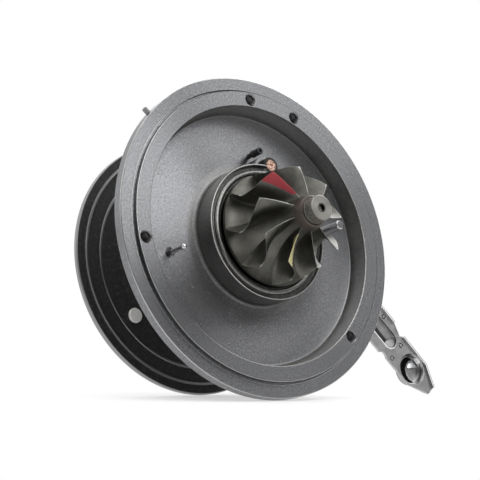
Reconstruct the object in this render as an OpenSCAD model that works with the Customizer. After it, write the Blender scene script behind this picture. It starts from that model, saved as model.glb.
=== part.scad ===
// Turbocharger cartridge: the middle of a turbocharger without its two outer housings.
// A seal plate and a bearing housing carry the rotor, and a crank lever in the
// turbine flange carries a stamped ball link. Millimetres.
// The rotor lies along Y with the compressor towards -Y. The origin is on the rotor
// axis, in the front face of the seal plate's locating ring.

/* [Seal plate] */
// Outside diameter of the seal plate
plate_d = 150; // [146:0.5:156]
// Thickness of the outer rim
rim_thick = 5.1; // [4:0.1:7]
// Diameter of the locating ring that enters the compressor cover
spigot_d = 136; // [132:0.5:140]
// Height of the locating ring above the rim
spigot_h = 1.9; // [1:0.1:3]
// Width of the relief groove at the foot of the locating ring
relief_w = 1; // [1:0.1:1.4]
// Depth of the relief groove
relief_depth = 0.5; // [0.3:0.1:1.2]
// Diameter of the air recess at its mouth
recess_d = 121.6; // [116:0.2:124]
// Depth of the air recess below the locating ring
recess_depth = 8.9; // [7:0.1:11]
// Draft of the recess wall, at the radius
recess_draft = 0.6; // [0:0.1:1.5]
// Fillet between the recess wall and its floor
recess_fillet = 2; // [1:0.2:3.6]
// Thickness of the plate under the recess
plate_floor = 5; // [4:0.1:8]
// Diameter of the central boss at its lip
boss_d = 63.6; // [62:0.2:68]
// Height of the boss lip above the locating ring
lip_h = 4; // [3.2:0.1:4.6]
// Width of the boss lip
lip_w = 0.8; // [0.5:0.1:1.4]
// Depth of the channel inside the boss lip
channel_depth = 1.6; // [0.8:0.1:2.4]
// Width of the rounded bead round the wheel pocket
bead_w = 2.6; // [1.6:0.1:3]
// Small edge break on turned corners
edge_break = 0.4; // [0.1:0.05:0.6]

/* [Cover screw holes] */
// Diameter of the tapped holes in the locating ring
cover_hole_d = 5; // [4:0.1:5.5]
// Depth of the tapped holes
cover_hole_depth = 8; // [6:0.5:8.5]
// Depth of the countersink at each tapped hole's mouth
cover_sink = 0.5; // [0.2:0.05:0.8]
// Angle of the first tapped hole, from the right and towards the top
cover_hole_a1 = 86; // [80:1:92]
// Angle of the second tapped hole
cover_hole_a2 = 63; // [55:1:70]
// Angle of the third tapped hole
cover_hole_a3 = 183; // [176:1:200]
// Angle of the fourth tapped hole
cover_hole_a4 = 312; // [300:1:325]

/* [Pins in the plate] */
// Diameter of the radial pin in the rim
rim_pin_d = 2.6; // [2:0.1:3]
// Length of the radial pin outside the rim
rim_pin_out = 3; // [1:0.1:5]
// Length of the radial pin inside the rim
rim_pin_in = 5; // [3:0.1:6]
// Angle of the radial pin
rim_pin_a = 133; // [120:1:150]
// Diameter of the slim headed pin
headed_pin_d = 2.3; // [1.8:0.1:2.6]
// Diameter of the slim pin's rounded head
headed_pin_head_d = 3; // [2.7:0.1:3.6]
// Height of the slim pin above the recess floor
headed_pin_h = 11.8; // [8:0.1:13]
// Diameter of the counterbore round the slim pin
headed_pin_well_d = 5; // [4:0.1:6]
// Depth of that counterbore
headed_pin_well_depth = 1.4; // [0.8:0.1:2]
// Distance of the slim pin from the rotor axis
headed_pin_r = 47.2; // [44:0.2:50]
// Angle of the slim pin
headed_pin_a = 189.3; // [184:0.1:196]
// Diameter of the dowel
dowel_d = 4.4; // [3:0.1:5]
// Height of the dowel above the recess floor
dowel_h = 13; // [8:0.5:15]
// Distance of the dowel from the rotor axis
dowel_r = 44; // [40:0.2:50]
// Angle of the dowel
dowel_a = 6; // [0:0.5:14]
// Shank diameter of the black stepped stud
stud_d = 1.8; // [1.4:0.1:2.2]
// Width across the stud's hexagonal collar
stud_collar_d = 3.4; // [2.8:0.1:4]
// Height of the stud above the recess floor
stud_h = 8.6; // [6:0.1:10]
// Distance of the stud from the rotor axis
stud_r = 40.3; // [39:0.1:46]
// Angle of the stud
stud_a = 81.4; // [78:0.1:90]
// Diameter of the copper-faced plug beside the boss
plug_d = 8; // [6:0.1:9]
// Diameter of the ear that holds the plug
plug_ear_d = 11.4; // [10.4:0.1:13]
// Angle of the plug
plug_a = 74.6; // [70:0.1:80]
// How far the plug's centre lies outside the boss lip
plug_out = 1.4; // [0:0.1:3]
// How far the plug stands above its ear
plug_proud = 4.8; // [3.5:0.1:5.5]
// Depth of a pin's or plug's seat below the recess floor
pin_seat = 3.4; // [2.5:0.1:3.6]

/* [Compressor wheel] */
// Diameter of the wheel's disc
wheel_d = 51.8; // [50:0.1:52.4]
// Front edge of the disc above the locating ring
wheel_rim_t = 6.2; // [5.8:0.1:7]
// Thickness of the disc at its rim
disc_thick = 1.4; // [1:0.1:1.8]
// Gap round the disc
wheel_gap = 0.6; // [0.5:0.1:1.4]
// Gap behind the disc
wheel_back_gap = 1.6; // [1.2:0.1:2.2]
// Number of full blades
blade_count = 9; // [7:1:11]
// Diameter across the blades at the inlet
inducer_d = 47; // [44:0.2:48]
// Diameter of the hub at the inlet
hub_d = 16; // [14:0.2:18]
// Length of the blades along the hub
blade_hub_len = 25.8; // [22:0.2:28]
// How far the blade tips sit behind the hub end of the leading edge
lead_edge_back = 4.4; // [2:0.1:6]
// Height of the blades at the outlet
outlet_h = 8; // [6:0.1:9]
// Blade thickness at the root
blade_root = 1.2; // [0.8:0.05:1.4]
// Blade thickness at the tip
blade_tip = 0.6; // [0.4:0.05:0.8]
// Turn of a blade along the hub, in degrees
hub_wrap = 28; // [15:1:40]
// Turn of a blade along its tip, in degrees
tip_wrap = 29; // [15:1:40]
// How far the tip leads the root at the leading edge, in degrees
lead_lean = 7; // [0:1:12]
// Angle of the first blade's leading tip
blade_phase = 1; // [0:1:40]
// Length of the hub's smooth nose in front of the blades
hub_nose_len = 4.5; // [3:0.1:7]
// Diameter of the hub's nose
hub_nose_d = 14.6; // [13:0.1:16]
// Diameter of the nose nut
nut_d = 11.6; // [10:0.1:12.6]
// Length of the nose nut
nut_len = 5.2; // [4:0.1:8]

/* [Shaft and bearings] */
// Diameter of the shaft inside the compressor wheel
stub_d = 5; // [4:0.1:6]
// Diameter of the shaft journals
journal_d = 8; // [7:0.1:8.6]
// Diameter of the shaft's seal hub at the turbine
seal_hub_d = 16; // [14.6:0.1:17]
// Radial running clearance of the journals
journal_gap = 0.03; // [0.015:0.005:0.05]
// Radial clearance of pressed or pinned pieces
seat_gap = 0.03; // [0.02:0.01:0.06]
// Radial gap round seal hubs
seal_gap = 0.35; // [0.3:0.05:0.5]
// End play at each thrust face
thrust_play = 0.06; // [0.04:0.01:0.1]
// Thickness of the thrust bearing
thrust_thick = 4; // [3:0.1:5]
// Diameter of the thrust bearing
thrust_d = 38; // [36:0.1:38.6]
// Diameter of the thrust faces on the collar
collar_d = 18; // [16:0.1:20]
// Thickness of each thrust face disc
collar_thick = 2; // [1.5:0.1:2.5]
// Diameter of the collar's neck
collar_neck_d = 10.6; // [9.6:0.1:12]
// Diameter of the oil flinger's sleeve
flinger_d = 14; // [13:0.1:15]
// Outside diameter of the journal bearing
bearing_d = 14; // [12.6:0.1:14.6]
// Length of each bearing land
bearing_land = 8; // [6:0.1:9]
// Width of the seal rings
seal_ring_w = 1.2; // [1:0.1:1.6]
// Depth of the seal ring grooves
seal_groove = 1.2; // [1:0.1:1.4]
// Length of the housing's seal land at the turbine
seal_land = 6.2; // [5.8:0.1:7]
// Height of the cupped oil baffle
baffle_h = 4.7; // [4.4:0.1:5]
// Thickness of the oil baffle's sheet
baffle_sheet = 1; // [0.6:0.1:1.2]
// Diameter of the oil baffle
baffle_d = 30; // [28:0.1:31]
// Diameter of the bearing's anti-turn pin
bearing_pin_d = 2.4; // [2:0.1:2.8]

/* [Bearing housing] */
// Length of the bearing housing between its two flanges' outer faces
housing_len = 48.3; // [46:0.1:54]
// Diameter of the flange behind the seal plate
front_flange_d = 68; // [66:0.2:76]
// Thickness of the flange behind the seal plate
front_flange_thick = 6.1; // [5:0.1:8]
// Diameter of the barrel
barrel_d = 41; // [39:0.2:43]
// Outside diameter of the turbine flange
flange_d = 123.6; // [120:0.2:130]
// Thickness of the turbine flange's rim
flange_rim = 2.7; // [2.2:0.1:4]
// Length of the flare between the barrel and the turbine flange
flare_len = 15; // [12:0.5:18]
// Diameter of the outer machined ridge
ridge1_d = 114.2; // [112:0.2:116]
// Height of the outer ridge above the rim
ridge1_h = 1.5; // [0.8:0.1:2.5]
// Diameter of the inner machined ridge
ridge2_d = 98.6; // [96:0.2:102]
// Height of the inner ridge above the rim
ridge2_h = 0.9; // [0.5:0.1:2]
// Width of the ridges
ridge_w = 0.9; // [0.5:0.1:1.4]
// Depth of the cast faces beside the ridges
cast_step = 0.7; // [0.3:0.1:1]
// Diameter of the oil cavity inside the barrel
cavity_d = 28; // [24:0.2:30]
// Length of the oil cavity
cavity_len = 15; // [10:0.5:16]
// Height of the oil inlet pad above the rotor axis
inlet_h = 36; // [30:0.5:42]
// Diameter of the oil inlet pad
inlet_pad_d = 22; // [18:0.2:24]
// Diameter of the tapped oil inlet
inlet_hole_d = 9; // [8:0.1:12]
// Depth of the tapped oil inlet
inlet_hole_depth = 10; // [8:0.5:12]
// Diameter of the oil feed drilling
feed_d = 3; // [2:0.1:4]
// Depth of the oil drain pad below the rotor axis
drain_h = 38; // [34:0.5:44]
// Width of the oil drain pad
drain_pad_w = 50; // [48:0.5:56]
// Length of the oil drain pad along the rotor
drain_pad_l = 26; // [24:0.5:28]
// Thickness of the oil drain pad
drain_pad_thick = 12; // [11:0.5:13]
// Diameter of the oil drain's mouth
drain_d = 16; // [14:0.2:18]
// Depth of the drain's mouth
drain_depth = 10; // [6:0.5:12]
// Wall of the drain's neck
drain_wall = 6; // [5:0.5:7]
// Distance between the drain pad's tapped holes
drain_pitch = 36; // [32:0.5:38]
// Diameter of the drain pad's tapped holes
drain_hole_d = 5; // [4:0.1:6]
// Diameter of the screws that hold the plate
plate_screw_d = 6; // [5:0.1:6.4]
// Diameter of the screw heads
plate_screw_head_d = 9; // [8:0.1:10]
// Height of the screw heads
plate_screw_head_h = 5; // [4:0.1:6]
// Length of the screws inside the plate
plate_screw_grip = 9; // [6:0.5:10]
// Pitch radius of the plate screws
plate_screw_r = 27; // [26.6:0.1:28]
// Number of plate screws
plate_screw_count = 4; // [3:1:6]
// Cord diameter of the plate's sealing ring
seal_cord_d = 1.8; // [1.4:0.1:1.9]
// Diameter of the pale pin in the turbine flange
flange_pin_d = 7; // [5:0.1:8]
// Distance of that pin from the rotor axis
flange_pin_r = 42; // [40:0.2:44]
// Angle of that pin
flange_pin_a = 214.8; // [205:0.1:225]

/* [Turbine] */
// Diameter of the turbine wheel
turbine_d = 43; // [40:0.2:46]
// Number of turbine blades
turbine_blades = 11; // [9:1:12]
// Length of the turbine blades along the hub
turbine_len = 23; // [20:0.2:28]
// Height of the turbine blades at the inlet
turbine_inlet_h = 8; // [6:0.1:10]
// Diameter across the turbine blades at the outlet
exducer_d = 38; // [34:0.2:40]
// Diameter of the turbine hub at the outlet
turbine_hub_d = 13; // [11:0.2:15]
// Turn of a turbine blade at its outlet tip, in degrees
turbine_wrap = 34; // [20:1:45]
// Gap between the flange and the turbine's back
turbine_gap = 4.6; // [4.2:0.1:6]
// Diameter of the heat shield
shield_d = 72; // [66:0.2:74]
// Thickness of the heat shield's sheet
shield_sheet = 0.8; // [0.6:0.1:1]
// Depth of the heat shield's dish
shield_dish = 3; // [2.4:0.1:3.2]

/* [Crank and link] */
// Distance of the crank from the rotor axis
crank_r = 49.8; // [48:0.2:51]
// Angle of the crank
crank_a = 337.6; // [330:0.2:350]
// Diameter of the crank shaft
crank_d = 7; // [6:0.1:8]
// Radial running clearance of the crank shaft
crank_gap = 0.05; // [0.03:0.01:0.08]
// Wall of the crank bush
bush_wall = 2; // [1.6:0.1:2.6]
// Wall of the boss round the crank bush
crank_boss_wall = 3.5; // [3:0.1:4.5]
// Height of the boss above the flange's rim
crank_boss_h = 8; // [6:0.1:10]
// Gap between the bush and each arm
arm_gap = 0.3; // [0.2:0.05:0.5]
// Length of the outer lever
lever_len = 26; // [24:0.5:30]
// Angle of the outer lever
lever_a = 40; // [35:0.5:45]
// Thickness of the outer lever
lever_thick = 3.5; // [3:0.1:4.5]
// Wall of the outer lever round its two holes
lever_wall = 4.2; // [3.4:0.1:5]
// Length of the inner arm
inner_arm_len = 10; // [8:0.1:11]
// Thickness of the inner arm
inner_arm_thick = 4; // [3:0.1:5]
// Diameter of the inner arm's drive pin
drive_pin_d = 4.8; // [4:0.1:5.4]
// Length of the drive pin below the arm
drive_pin_len = 4.5; // [3:0.1:6]
// Wall of the inner arm round its two ends
inner_arm_wall = 2; // [1.4:0.1:2.6]
// Diameter of the ball
ball_d = 10; // [9:0.1:10.6]
// Radial clearance of the ball in its socket
ball_gap = 0.06; // [0.03:0.01:0.09]
// Height of the ball's centre above the lever
ball_h = 6.7; // [6.2:0.1:8]
// Distance between the link's two sockets
link_len = 71.6; // [66:0.2:78]
// Angle of the link
link_a = 310; // [305:0.5:315]
// Width of the link's arm
link_w = 20.4; // [19:0.1:21.4]
// Width of the link's head
link_head_w = 18.6; // [17.6:0.1:19]
// Length of the link's head from its waist to the far socket
link_head_len = 16; // [14:0.5:18]
// Thickness of each of the link's two sheets
link_sheet = 1.2; // [0.8:0.05:1.5]
// Wall of the drawn sockets
socket_wall = 1.2; // [1:0.05:1.5]
// Length of the pointed tip past the far socket
link_tip = 15.3; // [13:0.1:17]
// Diameter of the actuator's ball, which the far socket takes
far_ball_d = 13; // [11:0.1:13.2]
// Radius of the dished mouth of the far socket
dish_mouth_r = 7.9; // [7.5:0.1:7.9]
// Wall of the rear sheet's collar round the far socket
far_collar = 0.8; // [0.6:0.05:0.9]
// Length of the far socket's wall in that collar
far_wall = 1.6; // [1.4:0.1:2.4]
// How far the far socket sits off the link's middle line
far_off = 0.9; // [0.6:0.1:1]
// How much narrower the link's arm is on its upper side
arm_cut = 0.9; // [0.5:0.1:1.4]
// How much narrower the link's head is on its upper side
head_cut = 1.2; // [0.8:0.1:1.3]
// Thickness of the upturned edge along the link's upper side
rim_edge_w = 0.9; // [0.6:0.1:1.1]
// Height of that upturned edge
rim_edge_h = 1; // [0.6:0.1:2]
// Width of the slot over the stiffening trough
rib_slot_w = 8.6; // [7.6:0.1:9.4]
// How far the trough's centre line lies in front of the rear sheet
trough_lift = 1.5; // [1:0.1:2]
// Diameter of the clinch points
clinch_d = 2.8; // [2:0.1:3.2]

/* [Hidden] */
$fn = 96;
// Overlap of cutting shapes past a face
cut = 1;

// Seal plate stations along the rotor, counted towards the compressor
plate_r = plate_d / 2;
spigot_r = spigot_d / 2;
recess_r = recess_d / 2;
boss_r = boss_d / 2;
rim_front_t = -spigot_h;
rim_back_t = rim_front_t - rim_thick;
floor_t = -recess_depth;
plate_back_t = floor_t - plate_floor;
cover_hole_r = (recess_r + spigot_r) / 2;
cover_hole_angles = [cover_hole_a1, cover_hole_a2, cover_hole_a3, cover_hole_a4];
// The dish behind the rim is as wide as the ring of tapped holes
dish_r = cover_hole_r + cover_hole_d / 2 + 1.1;
boss_foot_r = boss_r - 0.5;
boss_fillet = 1.6;
plug_r = boss_r + plug_out;
plug_ear_t = floor_t + 0.5 * (lip_h - floor_t);

// Compressor wheel stations
wheel_r = wheel_d / 2;
wheel_back_t = wheel_rim_t - disc_thick;
pocket_r = wheel_r + wheel_gap;
pocket_t = wheel_back_t - wheel_back_gap;
wheel_seat_t = pocket_t + wheel_back_gap / 2;
hub_r = hub_d / 2;
lead_t = wheel_rim_t + blade_hub_len;
nose_t = lead_t + hub_nose_len;
nut_end_t = nose_t + nut_len;
inducer_r = inducer_d / 2;

// Thrust and bearing stations
thrust_back_t = plate_back_t - thrust_thick;
collar_back_t = thrust_back_t - thrust_play - collar_thick;
front_room_t = collar_back_t - 0.5;
flange_back_t = plate_back_t - housing_len;
rim_face_t = flange_back_t + flange_rim;
seal_room_t = flange_back_t + seal_land;
bearing_front_t = front_room_t - 1;
bearing_back_t = seal_room_t + 1.8;
bearing_mid_t = (bearing_front_t + bearing_back_t) / 2;
journal_r = journal_d / 2;
bearing_r = bearing_d / 2;
bore_r = bearing_r + seat_gap;
// The oil pads' necks start inside the barrel's wall
pad_root = (bore_r + barrel_d / 2) / 2;
seal_hub_r = seal_hub_d / 2;
turbine_back_t = flange_back_t - turbine_gap;
seal_nose_t = flange_back_t - 1.4;
flinger_r = flinger_d / 2;
plate_bore_r = flinger_r + seal_gap;
turbine_bore_r = seal_hub_r + seal_gap;
baffle_seat_t = plate_back_t + baffle_h;
compressor_ring_t = (baffle_seat_t + pocket_t) / 2;
turbine_ring_t = (seal_room_t + seal_nose_t) / 2;

// Crank and link stations
crank_x = crank_r * cos(crank_a);
crank_y = crank_r * sin(crank_a);
bush_r = crank_d / 2 + crank_gap + bush_wall;
crank_boss_r = bush_r + crank_boss_wall;
boss_front_t = rim_face_t + crank_boss_h;
bush_front_t = boss_front_t + 0.4;
bush_back_t = flange_back_t - 0.6;
lever_back_t = bush_front_t + arm_gap;
lever_front_t = lever_back_t + lever_thick;
inner_arm_t = bush_back_t - arm_gap - inner_arm_thick;
lever_boss_r = crank_d / 2 + lever_wall;
ball_r = ball_d / 2;
lever_eye_r = ball_r / 2 + lever_wall;
ball_x = crank_x + lever_len * cos(lever_a);
ball_y = crank_y + lever_len * sin(lever_a);
ball_t = lever_front_t + ball_h;
socket_r = ball_r + ball_gap;
socket_out_r = socket_r + socket_wall;
sheet_t = ball_t + ball_r + 0.4;
socket_end_t = ball_t - 0.9;
far_socket_r = far_ball_d / 2 + ball_gap;
// The rear sheet flares a little into the far socket
mouth_flare = 0.4;
mouth_depth = 1;
mouth_foot_t = sheet_t - mouth_depth;
far_end_t = mouth_foot_t - far_wall;
clip_thick = 1.1;
near_end_r = link_w / 2;
// Lengthwise places on the link, counted from the near ball
waist_u = link_len - link_head_len;
notch_w = 4;
notch_depth = 1.8;
// The arm's upper edge slopes down into the waist
slope_u = waist_u - notch_w - 3;
slope_drop = 2.9;
head_start_u = waist_u + 0.4 * notch_w;
shoulder_u = link_len + 4.4;
// Half width of the link's blunt tip
tip_half = 2.6;
rib_start_u = near_end_r + 3;
rib_end_u = waist_u - rib_slot_w / 2 + 1;
clinch_places = [
    [rib_end_u - 10.1, link_w / 2 - 4],
    [waist_u + 3.5, link_head_w / 2 - 6],
    [waist_u + 3.6, -link_head_w / 2 + 2.8],
    [rib_end_u - 11.2, -link_w / 2 + 3.6],
    [near_end_r - 1, link_w / 2 - 4],
    [near_end_r - 1, -link_w / 2 + 3.6]
];

// Lays a shape that was drawn with the rotor upright so that its top faces -Y
module laid() {
    rotate([90, 0, 0])
        children();
}

// A ring between two radii and two stations
module ring(r_in, r_out, t_low, t_high) {
    translate([0, 0, t_low])
        difference() {
            cylinder(r = r_out, h = t_high - t_low);
            translate([0, 0, -cut])
                cylinder(r = r_in, h = t_high - t_low + 2 * cut);
        }
}

// A solid bar between two stations
module bar(r, t_low, t_high) {
    translate([0, 0, t_low])
        cylinder(r = r, h = t_high - t_low);
}

// Puts children at a radius and an angle round the rotor axis
module at_polar(r, a) {
    translate([r * cos(a), r * sin(a), 0])
        children();
}

// Points of an arc from one angle to another
function arc(cx, cy, r, a0, a1, n = 5) =
    [for (i = [0:n]) [cx + r * cos(a0 + (a1 - a0) * i / n), cy + r * sin(a0 + (a1 - a0) * i / n)]];

function mix(a, b, f) = a + (b - a) * f;

// A quarter ellipse that leaves along the axis and arrives along the radius
function meridian(r0, t0, r1, t1, s) = [mix(r0, r1, 1 - cos(90 * s)), mix(t0, t1, sin(90 * s))];

// One corner of a blade: meridian place, turn in degrees, and half thickness to one side
function blade_point(rt, turn, half) =
    let (a = turn + half / rt[0] * 180 / PI) [rt[0] * cos(a), rt[0] * sin(a), rt[1]];

// Two flanks, each a grid of steps along the flow and rows from root to tip
function blade_faces(steps, rows) =
    let (n = (steps + 1) * (rows + 1), w = rows + 1)
    concat(
        [for (i = [0:steps - 1], j = [0:rows - 1], k = [0, 1])
            let (p = i * w + j)
            k == 0 ? [p, p + 1, p + w + 1] : [p, p + w + 1, p + w]],
        [for (i = [0:steps - 1], j = [0:rows - 1], k = [0, 1])
            let (p = n + i * w + j)
            k == 0 ? [p, p + w + 1, p + 1] : [p, p + w, p + w + 1]],
        [for (i = [0:steps - 1], k = [0, 1])
            let (p = i * w)
            k == 0 ? [p, p + w, p + w + n] : [p, p + w + n, p + n]],
        [for (i = [0:steps - 1], k = [0, 1])
            let (p = i * w + rows)
            k == 0 ? [p, p + n, p + w + n] : [p, p + w + n, p + w]],
        [for (j = [0:rows - 1], k = [0, 1])
            k == 0 ? [j, j + n, j + 1 + n] : [j, j + 1 + n, j + 1]],
        [for (j = [0:rows - 1], k = [0, 1])
            let (p = steps * w + j)
            k == 0 ? [p, p + 1, p + 1 + n] : [p, p + 1 + n, p + n]]
    );

// Flat bar with two round ends, as two discs and a web just inside their common tangents
module tapered_bar(r0, r1, len, thick) {
    inset = 0.05;
    lean = acos((r0 - r1) / len);
    c = cos(lean);
    s = sin(lean);
    cylinder(r = r0, h = thick);
    translate([len, 0, 0])
        cylinder(r = r1, h = thick);
    linear_extrude(thick)
        polygon([
            [(r0 - inset) * c, (r0 - inset) * s],
            [(r0 - inset) * c, -(r0 - inset) * s],
            [len + (r1 - inset) * c, -(r1 - inset) * s],
            [len + (r1 - inset) * c, (r1 - inset) * s]
        ]);
}

// Half section of the seal plate
module plate_section() {
    bead_out = pocket_r + bead_w;
    bead_t = lip_h - 0.2;
    channel_t = lip_h - channel_depth;
    wall_foot = recess_r - recess_draft;
    polygon(concat(
        [[plate_bore_r, pocket_t], [pocket_r, pocket_t]],
        arc(pocket_r + bead_w / 2, bead_t - bead_w / 2, bead_w / 2, 180, 0, 6),
        [[bead_out + 0.2, channel_t], [boss_r - lip_w - 0.2, channel_t]],
        [[boss_r - lip_w, lip_h], [boss_r - edge_break / 2, lip_h], [boss_r, lip_h - edge_break]],
        arc(boss_foot_r + boss_fillet, floor_t + boss_fillet, boss_fillet, 180, 270, 4),
        arc(wall_foot - recess_fillet, floor_t + recess_fillet, recess_fillet, 270, 360, 5),
        [[recess_r, -edge_break], [recess_r + edge_break / 2, 0]],
        [[spigot_r, 0]],
        [[spigot_r, rim_front_t - relief_depth], [spigot_r + relief_w, rim_front_t - relief_depth]],
        [[spigot_r + relief_w, rim_front_t], [plate_r - edge_break, rim_front_t]],
        [[plate_r, rim_front_t - edge_break], [plate_r, rim_back_t + edge_break]],
        [[plate_r - edge_break, rim_back_t], [dish_r + 0.6, rim_back_t], [dish_r, rim_back_t - 0.6]],
        arc(dish_r - recess_fillet, plate_back_t + recess_fillet, recess_fillet, 0, -90, 4),
        [[baffle_d / 2 + seat_gap, plate_back_t], [baffle_d / 2 + seat_gap, baffle_seat_t]],
        [[baffle_d / 2 - 2, baffle_seat_t], [baffle_d / 2 - 2, baffle_seat_t + 1.2]],
        [[plate_bore_r, baffle_seat_t + 1.2]]
    ));
}

module seal_plate() {
    color("silver")
        laid()
            difference() {
                union() {
                    rotate_extrude()
                        plate_section();
                    at_polar(plug_r, plug_a)
                        bar(plug_ear_d / 2, floor_t - cut, plug_ear_t);
                }
                for (a = cover_hole_angles)
                    at_polar(cover_hole_r, a) {
                        bar(cover_hole_d / 2, -cover_hole_depth, cut);
                        translate([0, 0, -cover_sink])
                            cylinder(d1 = cover_hole_d, d2 = cover_hole_d + 4 * cover_sink,
                                     h = 2 * cover_sink);
                    }
                for (i = [0:plate_screw_count - 1])
                    at_polar(plate_screw_r, 45 + i * 360 / plate_screw_count)
                        bar(plate_screw_d / 2 + seat_gap, plate_back_t - cut,
                            plate_back_t + plate_screw_grip + 1);
                at_polar(plug_r, plug_a)
                    bar(plug_d / 2 + seat_gap, floor_t - pin_seat, lip_h + cut);
                at_polar(headed_pin_r, headed_pin_a) {
                    bar(headed_pin_d / 2 + seat_gap, floor_t - pin_seat, floor_t);
                    bar(headed_pin_well_d / 2, floor_t - headed_pin_well_depth, floor_t + cut);
                }
                at_polar(dowel_r, dowel_a)
                    bar(dowel_d / 2 + seat_gap, floor_t - pin_seat, floor_t + cut);
                at_polar(stud_r, stud_a)
                    bar(stud_d / 2 + seat_gap, floor_t - pin_seat, floor_t + cut);
                rotate([0, 0, rim_pin_a])
                    translate([plate_r - rim_pin_in, 0, (rim_front_t + rim_back_t) / 2])
                        rotate([0, 90, 0])
                            cylinder(d = rim_pin_d + 2 * seat_gap, h = rim_pin_in + cut);
                // Wheel pocket and bore stay clear of the plug's ear
                bar(pocket_r, pocket_t, lip_h + cut);
            }
}

// Half section of the bearing housing
module housing_section() {
    thrust_r = thrust_d / 2 + seat_gap;
    front_r = front_flange_d / 2;
    front_back_t = plate_back_t - front_flange_thick;
    barrel_r = barrel_d / 2;
    flange_r = flange_d / 2;
    cast_t = rim_face_t + cast_step / 2;
    flare_r = ridge2_d / 2 - 4 - barrel_r;
    flare_h = rim_face_t + flare_len;
    groove_r = thrust_r + 2.8;
    groove_half = seal_cord_d / 2 + 0.2;
    shield_r = shield_d / 2 + seat_gap;
    cavity_r = cavity_d / 2;
    polygon(concat(
        [[thrust_r, plate_back_t], [groove_r - groove_half, plate_back_t]],
        [[groove_r - groove_half, plate_back_t - seal_cord_d - 0.05]],
        [[groove_r + groove_half, plate_back_t - seal_cord_d - 0.05]],
        [[groove_r + groove_half, plate_back_t], [front_r - edge_break, plate_back_t]],
        [[front_r, plate_back_t - edge_break], [front_r, front_back_t + edge_break]],
        [[front_r - edge_break, front_back_t], [barrel_r + 1, front_back_t], [barrel_r, front_back_t - 1]],
        [for (i = [0:7]) meridian(barrel_r, flare_h, barrel_r + flare_r, cast_t, i / 7)],
        [[ridge2_d / 2 - ridge_w, cast_t]],
        [[ridge2_d / 2 - ridge_w / 2, rim_face_t + ridge2_h],
         [ridge2_d / 2 + ridge_w / 2, rim_face_t + ridge2_h]],
        [[ridge2_d / 2 + ridge_w, cast_t], [ridge1_d / 2 - ridge_w, cast_t]],
        [[ridge1_d / 2 - ridge_w / 2, rim_face_t + ridge1_h],
         [ridge1_d / 2 + ridge_w / 2, rim_face_t + ridge1_h]],
        [[ridge1_d / 2 + ridge_w, rim_face_t], [flange_r - edge_break, rim_face_t]],
        [[flange_r, rim_face_t - edge_break], [flange_r, flange_back_t + edge_break]],
        [[flange_r - edge_break, flange_back_t], [shield_r, flange_back_t]],
        [[shield_r, flange_back_t + 1], [turbine_bore_r + 5, flange_back_t + 1]],
        [[turbine_bore_r + 4, seal_nose_t], [turbine_bore_r, seal_nose_t]],
        [[turbine_bore_r, seal_room_t], [bore_r, seal_room_t]],
        [[bore_r, bearing_mid_t - cavity_len / 2], [cavity_r, bearing_mid_t - cavity_len / 2]],
        [[cavity_r, bearing_mid_t + cavity_len / 2], [bore_r, bearing_mid_t + cavity_len / 2]],
        [[bore_r, front_room_t], [collar_d / 2 + 1, front_room_t]],
        [[collar_d / 2 + 1, thrust_back_t], [thrust_r, thrust_back_t]]
    ));
}

module bearing_housing() {
    color("dimgray")
        laid()
            difference() {
                union() {
                    rotate_extrude()
                        housing_section();
                    // Oil inlet pad on top
                    translate([0, pad_root, bearing_mid_t])
                        rotate([-90, 0, 0])
                            cylinder(d = inlet_pad_d, h = inlet_h - pad_root);
                    // Oil drain pad below, on a round neck
                    translate([0, -pad_root, bearing_mid_t])
                        rotate([90, 0, 0])
                            cylinder(d = drain_d + 2 * drain_wall, h = drain_h - cut - pad_root);
                    translate([0, drain_pad_thick / 2 - drain_h, bearing_mid_t])
                        cube([drain_pad_w - drain_pad_l, drain_pad_thick, drain_pad_l], center = true);
                    for (side = [-1, 1])
                        translate([side * (drain_pad_w - drain_pad_l) / 2, -drain_h, bearing_mid_t])
                            rotate([-90, 0, 0])
                                cylinder(d = drain_pad_l, h = drain_pad_thick);
                    // Boss round the crank bush
                    at_polar(crank_r, crank_a)
                        bar(crank_boss_r, flange_back_t, boss_front_t);
                }
                // The oil cavity and the bores stay open through the pads
                bar(cavity_d / 2, bearing_mid_t - cavity_len / 2, bearing_mid_t + cavity_len / 2);
                bar(bore_r, seal_room_t, front_room_t);
                translate([0, inlet_h - inlet_hole_depth, bearing_mid_t])
                    rotate([-90, 0, 0])
                        cylinder(d = inlet_hole_d, h = inlet_hole_depth + cut);
                translate([0, 0, bearing_mid_t])
                    rotate([-90, 0, 0])
                        cylinder(d = feed_d, h = inlet_h - cut);
                translate([0, -drain_h - cut, bearing_mid_t])
                    rotate([-90, 0, 0])
                        cylinder(d = drain_d, h = drain_depth + cut);
                translate([0, -drain_h + drain_depth - cut, bearing_mid_t])
                    rotate([-90, 0, 0])
                        cylinder(d = drain_d - 4, h = drain_h - drain_depth + cut);
                for (side = [-1, 1])
                    translate([side * drain_pitch / 2, -drain_h - cut, bearing_mid_t])
                        rotate([-90, 0, 0])
                            cylinder(d = drain_hole_d, h = drain_pad_thick - 2 + cut);
                for (i = [0:plate_screw_count - 1])
                    at_polar(plate_screw_r, 45 + i * 360 / plate_screw_count)
                        bar(plate_screw_d / 2 + 0.3, plate_back_t - front_flange_thick - cut,
                            plate_back_t + cut);
                at_polar(crank_r, crank_a)
                    bar(bush_r + seat_gap, flange_back_t - cut, boss_front_t + cut);
                at_polar(flange_pin_r, flange_pin_a)
                    bar(flange_pin_d / 2 + seat_gap, flange_back_t - cut, rim_face_t + 6);
                translate([0, 0, bearing_front_t - bearing_land / 2])
                    rotate([0, 90, 180])
                        cylinder(d = bearing_pin_d + 2 * seat_gap, h = barrel_d);
            }
}

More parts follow.
